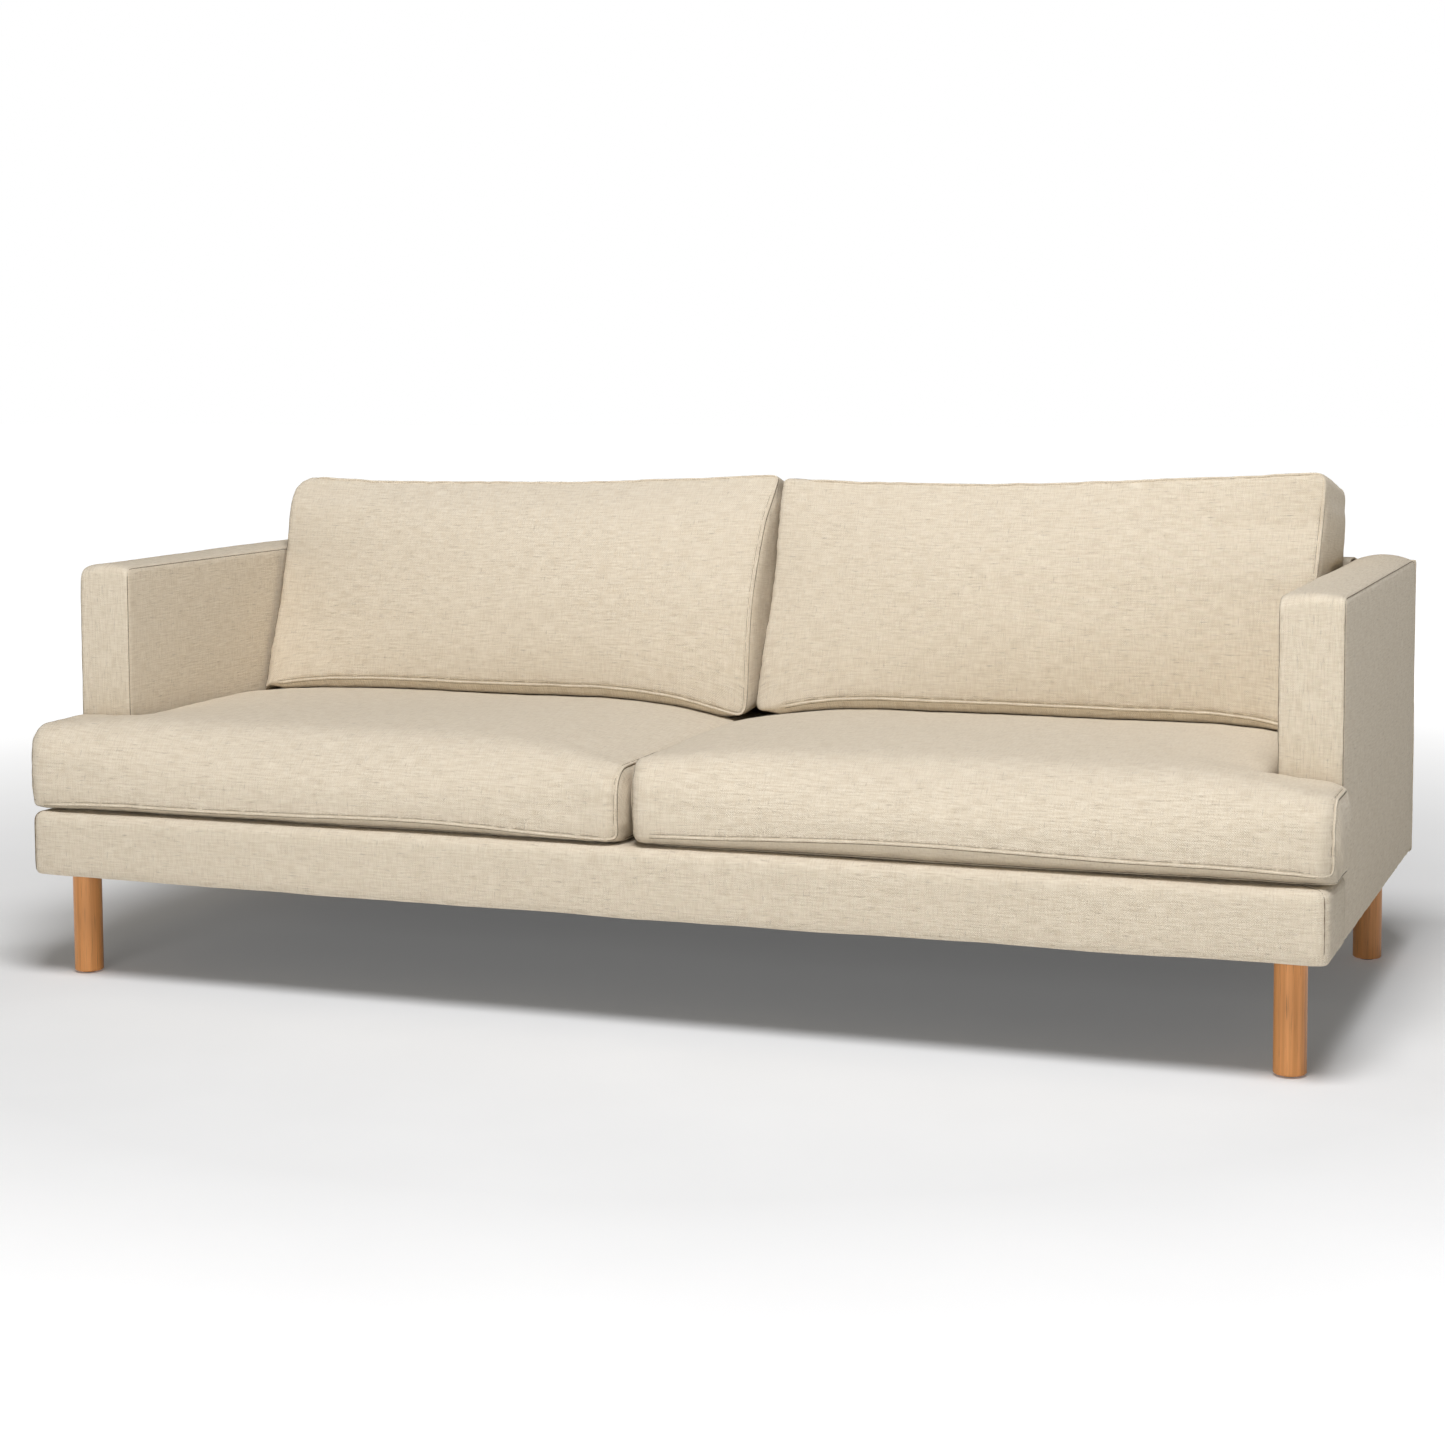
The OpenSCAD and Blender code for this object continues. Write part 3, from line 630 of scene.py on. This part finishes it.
def seam_set(piece, body, lines, height, width, stitch=0.0, below=9.0, roll=0.0):
    """Seams along lines of the piece's own vertices, riding with it: a lip, a dark line of painted shade in
    its crease, and topstitching with a painted shade line in the fold beside it.

    Above a height of below there is no topstitching, because the cloth rolls over the seam there. Within a
    distance of roll from the piece's -X side it rolls over too, and only the painted shade line of the
    crease shows, round the corner.
    """
    co, out = coords(piece), normals(piece)
    tree = surface(piece)
    rolled = co[:, 0] < co[:, 0].min() + roll
    for number, (loop, closed) in enumerate(lines):
        for part, whole in runs_of(loop, rolled[loop], closed):
            name = f"{piece.name}_crease_{number}_rolled"
            finish_piece(painted_shade_line(name, tree, co[part], out[part], ROLLED_OFFSET, ROLLED_SHADE_LINE, whole), body)
        for part, whole in runs_of(loop, ~rolled[loop], closed):
            name = f"{piece.name}_crease_{number}"
            if height:
                made = seam(f"{piece.name}_seam_{number}", co[part], out[part], height, width, whole)
                finish_piece(made, body)
            # Without a lip (height 0) the seam is only its dark line of painted shade, width wide
            offset, size = (-0.62 * width, LIP_SHADE_LINE) if height else (0.0, width)
            finish_piece(painted_shade_line(name, tree, co[part], out[part], offset, size, whole), body)
            if stitch:
                for low, whole in runs_of(part, co[part, 2] < below, whole):
                    # A thin dark line of painted shade in the fold beside the topstitching
                    name = f"{piece.name}_fold_{number}"
                    finish_piece(painted_shade_line(name, tree, co[low], out[low], 1.2 * width, FOLD_SHADE_LINE, whole), body)
                    name = f"{piece.name}_stitches_{number}"
                    finish_piece(stitches(name, tree, co[low], out[low], stitch, whole), body)


def finish_piece(obj, body, *replaced):
    """Lets a linen piece ride with its body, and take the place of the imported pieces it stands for."""
    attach(obj, body)
    if replaced:
        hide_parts(*replaced)


# ---------- cushions ----------

def drape(obj, seed, broad, fine, pucker, lines, reach=0.022):
    """Gives cloth its unevenness: broad hollows, fine ripples, and puckers that die away from the seams."""
    co, out = coords(obj), normals(obj)
    tree = bvhtree.BVHTree.FromPolygons(*ribbon_of(lines))
    near = np.array([tree.find_nearest(Vector(p))[3] for p in co])
    move = broad * ripple(co, 0.19, seed) + fine * ripple(co, 0.045, seed + 1)
    move += pucker * np.exp(-near / reach) * ripple(co, 0.014, seed + 2)
    set_coords(obj, co + out * move[:, None])


def ribbon_of(lines):
    """Thin triangles along lines of points, so that a search tree can measure distances to the lines."""
    verts, faces = [], []
    for line in lines:
        for a, b in zip(line[:-1], line[1:]):
            base = len(verts)
            verts += [tuple(a), tuple(b), tuple(b + 1e-4)]
            faces.append((base, base + 1, base + 2))
    return verts, faces


def rounded(near_u, near_v, radius):
    """Distances from two edges of a panel, moved so that its square corner becomes round."""
    a = np.clip(1 - near_u / radius, 0, 1)
    b = np.clip(1 - near_v / radius, 0, 1)
    inside = (a > 0) & (b > 0)
    new_u = np.where(inside, radius * (1 - a * np.sqrt(1 - b * b / 2)), near_u)
    new_v = np.where(inside, radius * (1 - b * np.sqrt(1 - a * a / 2)), near_v)
    return new_u, new_v


def seat_section(shape, across, split_x, wall_x, ear_x):
    """A slice through a seat cushion from front to rear, as the (y, z) lines of its top and its bottom."""
    arm_y = ARM_FRONT_Y - 0.0015
    hem = shape["hem"]
    t = (across - split_x) / (ear_x - split_x)
    from_edge = min(across - split_x, ear_x - across)
    edge_z = shape["split_z"] if t < 0.5 else shape["ear_z"]
    h = edge_z + (CROWN_Z - edge_z) * (1 - (1 - min(from_edge / 0.32, 1)) ** 2.4)
    middle = 1 - abs(2 * t - 1) ** 3
    sway = 0.003 * np.sin(9 * across + shape["seed"])
    seam_z = hem + sway * middle + 0.004 * middle - 0.006 * (1 - middle)
    deep, tall = 0.042 + 0.076 * middle, 0.045 + 0.047 * middle
    front = [(NOSE_Y + 0.006, seam_z), (NOSE_Y, seam_z + 0.025)]
    front += [(NOSE_Y + deep + deep * a, h - tall + tall * b) for a, b in arc((0, 0), 1.0, 180, 90, 12)]
    front += [(arm_y - 0.002, h + 0.001)]
    y_seat = np.linspace(arm_y - 0.002, seat_high.y - 0.006, SEAT_ROWS + 1)[1:]
    z_seat = h + 0.001 + 0.004 * np.sin(np.pi * (y_seat - arm_y) / 0.5)
    z_seat -= 0.016 * ease((y_seat + 0.05) / 0.34) + 0.014 * ease((y_seat - seat_high.y + 0.05) / 0.05) ** 2
    top = np.concatenate([resample(front, NOSE_ROWS + 1), np.stack([y_seat, z_seat], axis=1)])
    fall = np.clip(1 - (top[:, 0] - NOSE_Y) / 0.26, 0, 1) ** 2
    top[:, 1] -= 0.014 * middle * fall * ease((top[:, 1] - hem) / (h - hem))

    # The top draws in towards the seam all round
    tangent = unit(np.gradient(top, axis=0))
    outward = np.stack([-tangent[:, 1], tangent[:, 0]], axis=1)
    edge = np.where(np.arange(len(top)) <= NOSE_ROWS, ear_x, wall_x)
    near = np.minimum(across - split_x, np.maximum(edge - across, 0))
    top -= outward * (0.006 * (1 - np.clip(near / 0.03, 0, 1)) ** 2)[:, None]

    # The front corners are round in plan
    turn = 0.0
    for distance, r in ((across - split_x, shape["split_r"]), (ear_x - across, shape["ear_r"])):
        turn += r - np.sqrt(max(r * r - max(0.0, r - distance) ** 2, 0))
    top[:, 0] += turn * (1 - ease((top[:, 0] - NOSE_Y) / 0.07))
    y_low = np.concatenate([np.linspace(NOSE_Y + 0.030 + turn, arm_y - 0.002, NOSE_ROWS + 1), y_seat])
    z_low = seat_low.z + 0.001 + 0.003 * (1 - ease((y_low - NOSE_Y - 0.03) / 0.09))
    return top, np.stack([y_low, z_low], axis=1)


def seat_cushion(tag):
    """A T-shaped seat cushion: its top runs over a bull nose to a seam low on the front."""
    side, shape = SIDES[tag], SEATS[tag]
    split_x, wall_x, ear_x = seat_low.x + shape["tuck"], ARM_X - 0.012, SIDE_X + shape["past"]
    x = np.concatenate([np.linspace(split_x, wall_x, SEAT_COLUMNS + 1),
                        np.linspace(wall_x, ear_x, EAR_COLUMNS + 1)[1:]])
    keep = np.ones((SEAT_COLUMNS + EAR_COLUMNS, NOSE_ROWS + SEAT_ROWS), bool)
    keep[SEAT_COLUMNS:, NOSE_ROWS:] = False
    grids = np.zeros((2, len(x), NOSE_ROWS + SEAT_ROWS + 1, 3))
    for i, across in enumerate(x):
        grids[:, i, :, 0] = side * across
        grids[:, i, :, 1:] = seat_section(shape, across, split_x, wall_x, ear_x)

    def bulge(a):
        return 0.003 + 0.006 * ease((a[:, 2] - shape["hem"] - 0.012) / 0.05)

    name = f"{tag}_seat_cushion"
    obj, seam_top, seam_low = slab(name, LINEN, keep, grids[0], grids[1], 9, bulge)
    co = coords(obj)
    held = np.zeros(len(co))
    held[seam_top] = 1
    held[co[:, 2] < seat_low.z + 0.010] = 1
    held[seam_low] = 1
    inflate(obj, held, pressure=2.4, cap=0.009)
    subdivide(obj)
    smooth = coords(obj)
    lines = [smooth[np.append(seam_top, seam_top[0])]]
    drape(obj, shape["seed"], broad=0.0022, fine=0.0007, pucker=0.0016, lines=lines)
    set_coords(obj, seat_in_place(coords(obj), side))
    finish_piece(obj, name, f"{tag}_seat_cover", f"{tag}_seat_core")

    # The seam shows neither along the arm nor where the two cushions press together
    x_out, y = np.abs(smooth[seam_top, 0]), smooth[seam_top, 1]
    beside_arm = (x_out > ARM_X - 0.02) & (y > ARM_FRONT_Y - 0.012)
    at_middle = (x_out < 0.03) & (y > seat_low.y + 0.14)
    shown = [*runs_of(seam_top, ~(beside_arm | at_middle)), (seam_low, True)]
    seam_set(obj, name, shown, height=0.0022, width=0.0034, stitch=0.0062, roll=0.030)
    return surface(obj)


def seat_in_place(co, side):
    """Keeps a seat cushion's points clear of the arm, the other cushion, the zip and the deck."""
    x_out = np.abs(co[:, 0])
    beside = co[:, 1] > ARM_FRONT_Y - 0.001
    co[:, 0] = np.where(beside, np.minimum(x_out, ARM_X - 0.001), x_out).clip(0.0006) * side
    co[:, 1] = np.where(x_out > ARM_X - 0.001, np.minimum(co[:, 1], ARM_FRONT_Y - 0.001), co[:, 1])
    co[:, 1] = np.minimum(co[:, 1], seat_high.y - 0.0004)
    co[:, 2] = np.maximum(co[:, 2], seat_low.z)
    return co


def back_panels(tag, seat_tree):
    """The front and rear panels of a back cushion as grids of points, the front one resting on the seat."""
    side, shape = SIDES[tag], BACKS[tag]
    split_x, wall_x = shape["split_x"], BACK_WALL_X
    height, width = BACK_HEIGHT, wall_x - split_x
    at_split, at_wall = (resample(EDGE_LINES[tag, end], BACK_ROWS + 1) for end in ("split", "outer"))
    front = np.zeros((BACK_COLUMNS + 1, BACK_ROWS + 1, 3))
    rear = np.zeros_like(front)
    steps = np.linspace(0, 1, BACK_ROWS + 1)
    for i, j in np.ndindex(front.shape[:2]):
        from_split, from_wall = width * i / BACK_COLUMNS, width * (1 - i / BACK_COLUMNS)
        from_foot, from_head = height * j / BACK_ROWS, height * (1 - j / BACK_ROWS)
        low_half, near_split = from_foot < from_head, from_split < from_wall
        near = min(from_split, from_wall), min(from_foot, from_head)

        def place(radius):
            near_x, near_z = (float(v) for v in rounded(*near, radius))
            x = split_x + near_x if near_split else wall_x - near_x
            return x, near_z / height if low_half else 1 - near_z / height

        x, w = place(FOOT_CORNER if low_half else CORNERS[tag, "split" if near_split else "outer"])
        t = (x - split_x) / width
        u = 2 * t - 1
        inward = 1 if u < 0 else -1
        x += inward * 0.008 * np.sin(np.pi * w) * abs(u) ** 5
        edge = [(1 - t) * np.interp(w, steps, at_split[:, k]) + t * np.interp(w, steps, at_wall[:, k])
                for k in (0, 1)]
        full = 0.030 * (1 - abs(u) ** 2.2) * (1 - abs(2 * w - 1) ** 2.4)
        sag = (0.013 - 0.004 * side * u) * (1 - u * u) * ease(w)
        foot = seat_tree.ray_cast(Vector((side * x, 0.10, 0.6)), Vector((0, 0, -1)))[0]
        edge_foot = (1 - t) * at_split[0, 1] + t * at_wall[0, 1]
        lift = (foot.z + 0.007 + 0.015 * (1 - abs(u) ** 7) - edge_foot) * (1 - ease(w / 0.35))
        front[i, j] = (side * x, edge[0] - full, edge[1] + 0.35 * full * w - sag + lift)
        x, w = place(REAR_CORNER)
        y, z = BACK_REAR[0] + (BACK_REAR[1] - BACK_REAR[0]) * w
        rear[i, j] = (side * (x + 0.004 * inward * abs(u) ** 8), y, z + shape["rise"] * w * t ** 3)
    return front, rear


def back_cushion(tag, seat_tree):
    """A boxed back cushion that leans, pulled in between soft corners, its front rolled over the top."""
    side, shape = SIDES[tag], BACKS[tag]

    def bulge(a):
        high = ease((a[:, 2] - 0.76) / 0.03)
        aside = np.minimum(np.abs(a[:, 0]) - shape["split_x"], BACK_WALL_X - np.abs(a[:, 0]))
        low = (1 - ease((a[:, 2] - 0.475) / 0.02)) * ease((aside - 0.015) / 0.05)
        return 0.007 - 0.006 * high + 0.028 * low

    name = f"{tag}_back_cushion"
    keep = np.ones((BACK_COLUMNS, BACK_ROWS), bool)
    front, rear = back_panels(tag, seat_tree)
    obj, seam_front, seam_rear = slab(name, LINEN, keep, front, rear, 18, bulge, 8.0)
    held = np.zeros(len(obj.data.vertices))
    held[seam_front] = 1
    held[seam_rear] = 1
    inflate(obj, held, pressure=1.6, cap=0.009)
    subdivide(obj)
    smooth = coords(obj)
    lines = [smooth[np.append(loop, loop[0])] for loop in (seam_front, seam_rear)]
    drape(obj, shape["seed"], broad=0.0026, fine=0.0007, pucker=0.0016, lines=lines)
    set_coords(obj, back_in_place(coords(obj), side, seat_tree))
    finish_piece(obj, name, f"{tag}_back_cushion_cover", f"{tag}_back_fill")
    both = [(seam_front, True), (seam_rear, True)]
    seam_set(obj, name, both, height=0.0028, width=0.0038, stitch=0.0080, below=0.775, roll=0.040)


def back_in_place(co, side, seat_tree):
    """Keeps a back cushion's points clear of the seat cushion, the arm, the other cushion and the back."""
    rest_on(co, seat_tree, 0.0015)
    x_out = np.abs(co[:, 0]).clip(0.0006)
    between = co[:, 2] < ARM_Z + 0.004
    co[:, 0] = np.where(between, np.minimum(x_out, ARM_X - 0.001), x_out) * side
    face = inside_low.y + (co[:, 2] - DECK_Z) * INSIDE_LEAN - 0.0015
    co[:, 1] = np.where(between, np.minimum(co[:, 1], face), co[:, 1])
    return co


def rest_on(co, tree, clear):
    """Lifts the points that are inside or just over a surface until they lie on it."""
    for k in np.flatnonzero(co[:, 2] < 0.48):
        hit = tree.ray_cast(Vector((co[k, 0], co[k, 1], 0.7)), Vector((0, 0, -1)))[0]
        if hit is not None:
            co[k, 2] = max(co[k, 2], hit.z + clear)


# ---------- fixed upholstery ----------

def arm_panels(side, shape):
    """The outer and inner panels of an arm as grids of points, the inner one ending at the deck."""
    y0, y1 = ARM_FRONT_Y + 0.0006, rear_high.y - SKIN
    head_z = ARM_Z - 0.004
    depth, height = y1 - y0, head_z - BODY_Z
    outer = np.zeros((ARM_COLUMNS + 1, ARM_ROWS + 1, 3))
    inner = np.zeros_like(outer)
    for i, j in np.ndindex(outer.shape[:2]):
        from_front, from_top = depth * i / ARM_COLUMNS, height * (1 - j / ARM_ROWS)
        a, b = (float(v) for v in rounded(from_front, from_top, shape["outer_r"]))
        y, z = y0 + a, head_z - b
        a, b = (float(v) for v in rounded(from_front, from_top, shape["inner_r"]))
        y_in, z_in = y0 + a, head_z - b
        rear_drop = 0.008 * ease(1 - (y1 - y) / 0.045) ** 2 * (z > BODY_Z + 0.3) * j / ARM_ROWS
        u, w = 2 * i / ARM_COLUMNS - 1, 2 * j / ARM_ROWS - 1
        full = 0.003 * (1 - u ** 6) * (1 - w ** 6)
        outer[i, j] = (side * (SIDE_X - 0.0025 + full), y, z - rear_drop)
        z_in = max(z_in, DECK_Z - 0.013 + (z_in - BODY_Z) * 0.02)
        inner[i, j] = (side * (ARM_X + 0.0025 - 0.4 * full), y_in, z_in - rear_drop)
    return outer, inner


def arm(tag):
    """A slim track arm: flat outer and inner panels sewn to a band up the front and along the top."""
    side, shape = SIDES[tag], ARMS[tag]
    y0, y1 = ARM_FRONT_Y + 0.0006, rear_high.y - SKIN

    def bulge(a):
        return (0.006 + 0.004 * ease((a[:, 1] + 0.3) / 0.5)) * ease((a[:, 2] - BODY_Z - 0.02) / 0.05)

    keep = np.ones((ARM_COLUMNS, ARM_ROWS), bool)
    outer, inner = arm_panels(side, shape)
    obj, seam_out, seam_in = slab(f"{tag}_arm_upholstery", LINEN, keep, outer, inner, 10, bulge)

    # Below the deck the band lies over the rails, and turns under along the outer panel
    co = coords(obj)
    x_out = np.abs(co[:, 0])
    under = co[:, 2] < DECK_Z - 0.02
    inward = under & (x_out < SIDE_X - 0.036)
    co[inward, 2] = DECK_Z - 0.013
    turned = under & ~inward & (x_out < SIDE_X - 0.006)
    co[turned & (co[:, 1] > y0 + 0.002) & (co[:, 1] < y1 - 0.002), 2] = BODY_Z + 0.0005
    set_coords(obj, co)
    subdivide(obj)
    smooth = coords(obj)
    lines = [smooth[np.append(loop, loop[0])] for loop in (seam_out, seam_in)]
    drape(obj, shape["seed"], broad=0.0011, fine=0.0004, pucker=0.0007, lines=lines)
    co = coords(obj)
    co[:, 1] = co[:, 1].clip(ARM_FRONT_Y + 0.0003, rear_high.y - 0.0005)
    x_out = np.abs(co[:, 0])
    co[:, 0] = np.where(x_out < SIDE_X - 0.05, x_out.clip(ARM_X), x_out) * side
    set_coords(obj, co)
    finish_piece(obj, "frame", f"{tag}_arm_cover", f"{tag}_arm_foam")
    shown = runs_of(seam_out, smooth[seam_out, 2] > BODY_Z + 0.004)
    shown += runs_of(seam_in, (smooth[seam_in, 2] > DECK_Z + 0.02) & (smooth[seam_in, 1] < y1 - 0.006))
    # The arm seams have no lip: each is only a thin dark line of painted shade in its groove
    seam_set(obj, "frame", shown, height=0, width=0.0011)


def border():
    """The padded base in front of the arms, turned under at the bottom and round both ends."""
    corner, bottom_r, top_r = 0.022, 0.008, 0.014
    rear = ARM_FRONT_Y
    front = border_low.y
    profile = [(0.034, BODY_Z + 0.0015), (bottom_r, BODY_Z)]
    profile += [(bottom_r - d, BODY_Z + bottom_r - z) for d, z in arc((0, 0), bottom_r, 90, 0, 5)]
    profile += [(0, BODY_Z + 0.05), (0, DECK_Z - top_r)]
    profile += [(top_r + d, DECK_Z - top_r + z) for d, z in arc((0, 0), top_r, 180, 90, 5)]
    profile += [(0.05, DECK_Z), (0.1, DECK_Z), (0.15, DECK_Z - 0.0002)]
    profile = resample(profile, 46)
    grid = np.array([[(x, y, z) for x, y in border_path(d, corner, front, rear)] for d, z in profile])
    face = ease((grid[..., 2] - BODY_Z) / 0.03) * ease((DECK_Z - grid[..., 2]) / 0.03)
    grid[..., 1] -= 0.002 * face * (np.abs(grid[..., 0]) < SIDE_X - corner)
    sway = 0.0028 + 0.0018 * ripple(grid * (1, 0, 0), 0.11, 3)
    slack = sway * (1 - ease((grid[..., 2] - BODY_Z) / 0.04))
    grid[..., 2] -= slack * (1 - (np.abs(grid[..., 0]) / SIDE_X) ** 2)
    obj = strip("front_border_upholstery", LINEN, np.swapaxes(grid, 0, 1))
    corners = [k for k, p in enumerate(grid[20]) if abs(abs(p[0]) - SIDE_X + 0.3 * corner) < 0.0012]
    ends = [min(corners), max(corners)]
    lines = [grid[:, k] for k in ends]
    drape(obj, seed=113, broad=0.0013, fine=0.0005, pucker=0.0009, lines=lines)
    finish_piece(obj, "frame", "front_border_cover", "front_border_foam")
    for number, line in enumerate(lines):
        centre = np.array([0.0, -0.2, 0.24])
        out = unit((line - centre) * (1, 1, 0.3))
        # Each corner seam is a thin dark welt of painted shade, standing in for the shadow in its groove
        made = seam(f"front_border_seam_{number}", line[6:-10], out[6:-10], *PANEL_SHADE_LINE, False, SEAM_SHADE)
        finish_piece(made, "frame")


def border_path(inset, corner, front, rear):
    """Plan of the border at an inset: along the right end, the front and the left end."""
    r = max(corner - inset, 0.0008)
    side = SIDE_X - inset
    y = front + inset
    right = [(side, rear + (y + r - rear) * t) for t in np.linspace(0, 1, 15)[:-1]]
    turn = [(side - r + dx, y + r + dy) for dx, dy in arc((0, 0), r, 0, -90, 8)]
    half = right + turn + [(x, y) for x in np.linspace(side - r, 0, 92)[1:]]
    return half + [(-x, y) for x, y in reversed(half[:-1])]


def inside_back():
    """The back frame's padded front and top, which the back cushions lean on."""
    r = 0.022
    foot_y, foot_z = inside_low.y, inside_low.z
    knee_z = ARM_Z - r
    slope_y = (knee_z - foot_z) * INSIDE_LEAN
    profile = [(foot_y, foot_z), (foot_y + 0.5 * slope_y - 0.002, (foot_z + knee_z) / 2)]
    profile += arc((foot_y + slope_y + r, knee_z), r, 180, 90, 6)
    profile += [(0.44, ARM_Z + 0.001), (rear_high.y - SKIN, ARM_Z - 0.006)]
    profile = resample(profile, 44)
    reach = ARM_X + 0.0022
    x = np.linspace(-reach, reach, 150)
    grid = np.array([[(across, y, z) for y, z in profile] for across in x])
    obj = strip("inside_back_upholstery", LINEN, grid)
    drape(obj, seed=131, broad=0.0012, fine=0.0004, pucker=0.0, lines=[grid[0]])
    co = coords(obj)
    co[:, 0] = co[:, 0].clip(-reach, reach)
    set_coords(obj, co)
    finish_piece(obj, "frame", "back_cover", "back_foam")


def outside_back():
    """The plain panel that closes the back of the sofa, turned under at the bottom."""
    r = 0.006
    y = rear_high.y - 0.0005
    profile = [(y - 0.034, BODY_Z + 0.0015)] + arc((y - r, BODY_Z + r), r, -90, 0, 4)
    profile += [(y, 0.3), (y, 0.5)] + arc((y - r, ARM_Z - 0.005 - r), r, 0, 80, 4)
    profile = resample(profile, 60)
    x = np.linspace(-SIDE_X + 0.0015, SIDE_X - 0.0015, 180)
    grid = np.array([[(across, b, c) for b, c in profile] for across in x])
    face = ease((grid[..., 2] - BODY_Z) / 0.06) * ease((ARM_Z - grid[..., 2]) / 0.06)
    grid[..., 1] += 0.0018 * face * (1 - (grid[..., 0] / SIDE_X) ** 6)
    obj = strip("outside_back_upholstery", LINEN, grid)
    edges = [grid[:, -4], grid[1, 5:], grid[-2, 5:]]
    drape(obj, seed=149, broad=0.0012, fine=0.0004, pucker=0.0008, lines=edges)
    finish_piece(obj, "frame", "outside_back_cover")
    facing = unit(np.array([(0, 0.7, 0.7), (-0.7, 0.7, 0), (0.7, 0.7, 0)]))
    for number, (line, out) in enumerate(zip(edges, facing)):
        out = np.tile(out, (len(line), 1))
        # Each edge seam is a thin dark welt of painted shade, standing in for the shadow in its groove
        made = seam(f"outside_back_seam_{number}", line, out, *PANEL_SHADE_LINE, False, SEAM_SHADE)
        finish_piece(made, "frame")


def flat_sheet(name, node, material, thick, sag):
    """A thin stretched sheet in the place of a CAD one, hanging a little in the middle."""
    columns, rows = 96, 44
    low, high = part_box(node)
    u, v = np.linspace(-1, 1, columns + 1)[:, None], np.linspace(-1, 1, rows + 1)[None, :]
    x = (low.x + high.x) / 2 + (high.x - low.x) / 2 * u + 0 * v
    y = (low.y + high.y) / 2 + (high.y - low.y) / 2 * v + 0 * u
    grid = np.stack([x, y, np.full(x.shape, high.z)], axis=-1)
    slack = ((1 - u ** 2) * (1 - v ** 2)) ** 2
    grid[..., 2] -= sag * slack + 0.0003 * (1 + ripple(grid, 0.06, 7)) * slack
    obj = strip(name, material, grid, thick)
    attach(obj, "frame")
    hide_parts(node)


# ---------- stage ----------

def area_light(name, place, aim, size, power, colour):
    """A rectangular light that faces a point."""
    light = bpy.data.lights.new(name, "AREA")
    light.shape = "RECTANGLE"
    light.size, light.size_y = size
    light.energy = power
    light.color = colour
    obj = bpy.data.objects.new(name, light)
    obj.location = place
    obj.rotation_euler = (Vector(aim) - Vector(place)).to_track_quat("-Z", "Y").to_euler()
    bpy.context.scene.collection.objects.link(obj)


def surroundings(scene):
    """White where the camera sees them, and a faint warm fill light on everything else."""
    world = bpy.data.worlds.new("studio")
    world.use_nodes = True
    nodes, links = world.node_tree.nodes, world.node_tree.links
    fill = nodes["Background"]
    fill.inputs["Color"].default_value = (1.0, 0.94, 0.84, 1)
    fill.inputs["Strength"].default_value = FILL
    seen = nodes.new("ShaderNodeBackground")
    seen.inputs["Color"].default_value = (1, 1, 1, 1)
    mixed = nodes.new("ShaderNodeMixShader")
    links.new(nodes.new("ShaderNodeLightPath").outputs["Is Camera Ray"], mixed.inputs[0])
    links.new(fill.outputs[0], mixed.inputs[1])
    links.new(seen.outputs[0], mixed.inputs[2])
    links.new(mixed.outputs[0], nodes["World Output"].inputs["Surface"])
    scene.world = world


def pale_floor(scene):
    """A floor that brightens with distance to the white of the surroundings."""
    paint = Material("pale_floor", roughness=0.9, Specular_IOR_Level=0.1, Emission_Color=(1, 1, 1, 1))
    place = object_point(paint)
    paint.node("ShaderNodeVectorMath", {"operation": "LENGTH"}, i0=place)
    far = paint.tree.nodes[-1].outputs["Value"]
    paint.put(paint.spread(far, 1.3, 4.5, 0.10, 1.0), paint.surface.inputs["Emission Strength"])
    worn = paint.spread(paint.noise(place, 3.0), 0.3, 0.7)
    paint.finish(paint.mix(worn, (0.80, 0.80, 0.79, 1), (0.82, 0.82, 0.81, 1)))
    mesh = bpy.data.meshes.new("floor")
    half = 40.0
    corners = [(-half, -half, 0), (half, -half, 0), (half, half, 0), (-half, half, 0)]
    mesh.from_pydata(corners, [], [(0, 1, 2, 3)])
    mesh.materials.append(paint.material)
    floor = bpy.data.objects.new("floor", mesh)
    scene.collection.objects.link(floor)


def add_camera(scene):
    """A camera in front of the right arm, a little above it."""
    camera = bpy.data.cameras.new("camera")
    camera.lens = 67.48
    camera.sensor_width = 36
    camera.shift_y = -0.0965
    camera.clip_end = 60
    eye = bpy.data.objects.new("camera", camera)
    turns = ((20.9, "Z"), (85.5, "X"), (-0.3, "Z"))
    turn, tilt, roll = (Matrix.Rotation(np.radians(a), 4, axis) for a, axis in turns)
    eye.matrix_world = Matrix.Translation((1.581, -4.188, 0.9905)) @ turn @ tilt @ roll
    scene.collection.objects.link(eye)
    scene.camera = eye


def stage():
    """The floor, the surroundings, soft studio light and the camera."""
    scene = bpy.context.scene
    scene.view_settings.view_transform = "Standard"
    surroundings(scene)
    pale_floor(scene)
    middle = (0, 0, 0.4)
    area_light("key", (1.0, -2.2, 5.6), middle, (2.2, 2.2), KEY, (0.985, 0.99, 1.02))
    area_light("front", (0.2, -6.2, 1.3), middle, (3.0, 1.6), FRONT, (1.0, 0.985, 0.96))
    add_camera(scene)


dress_frame()
for tag in SIDES:
    seat_surface = seat_cushion(tag)
    back_cushion(tag, seat_surface)
    arm(tag)
border()
inside_back()
outside_back()
flat_sheet("seat_deck_sheet", "deck_cloth", FINISHES["linen"], thick=0.0009, sag=0.0)
flat_sheet("dust_cover_sheet", "dust_cover", FINISHES["dust_cloth"], thick=0.0008, sag=0.004)
stage()
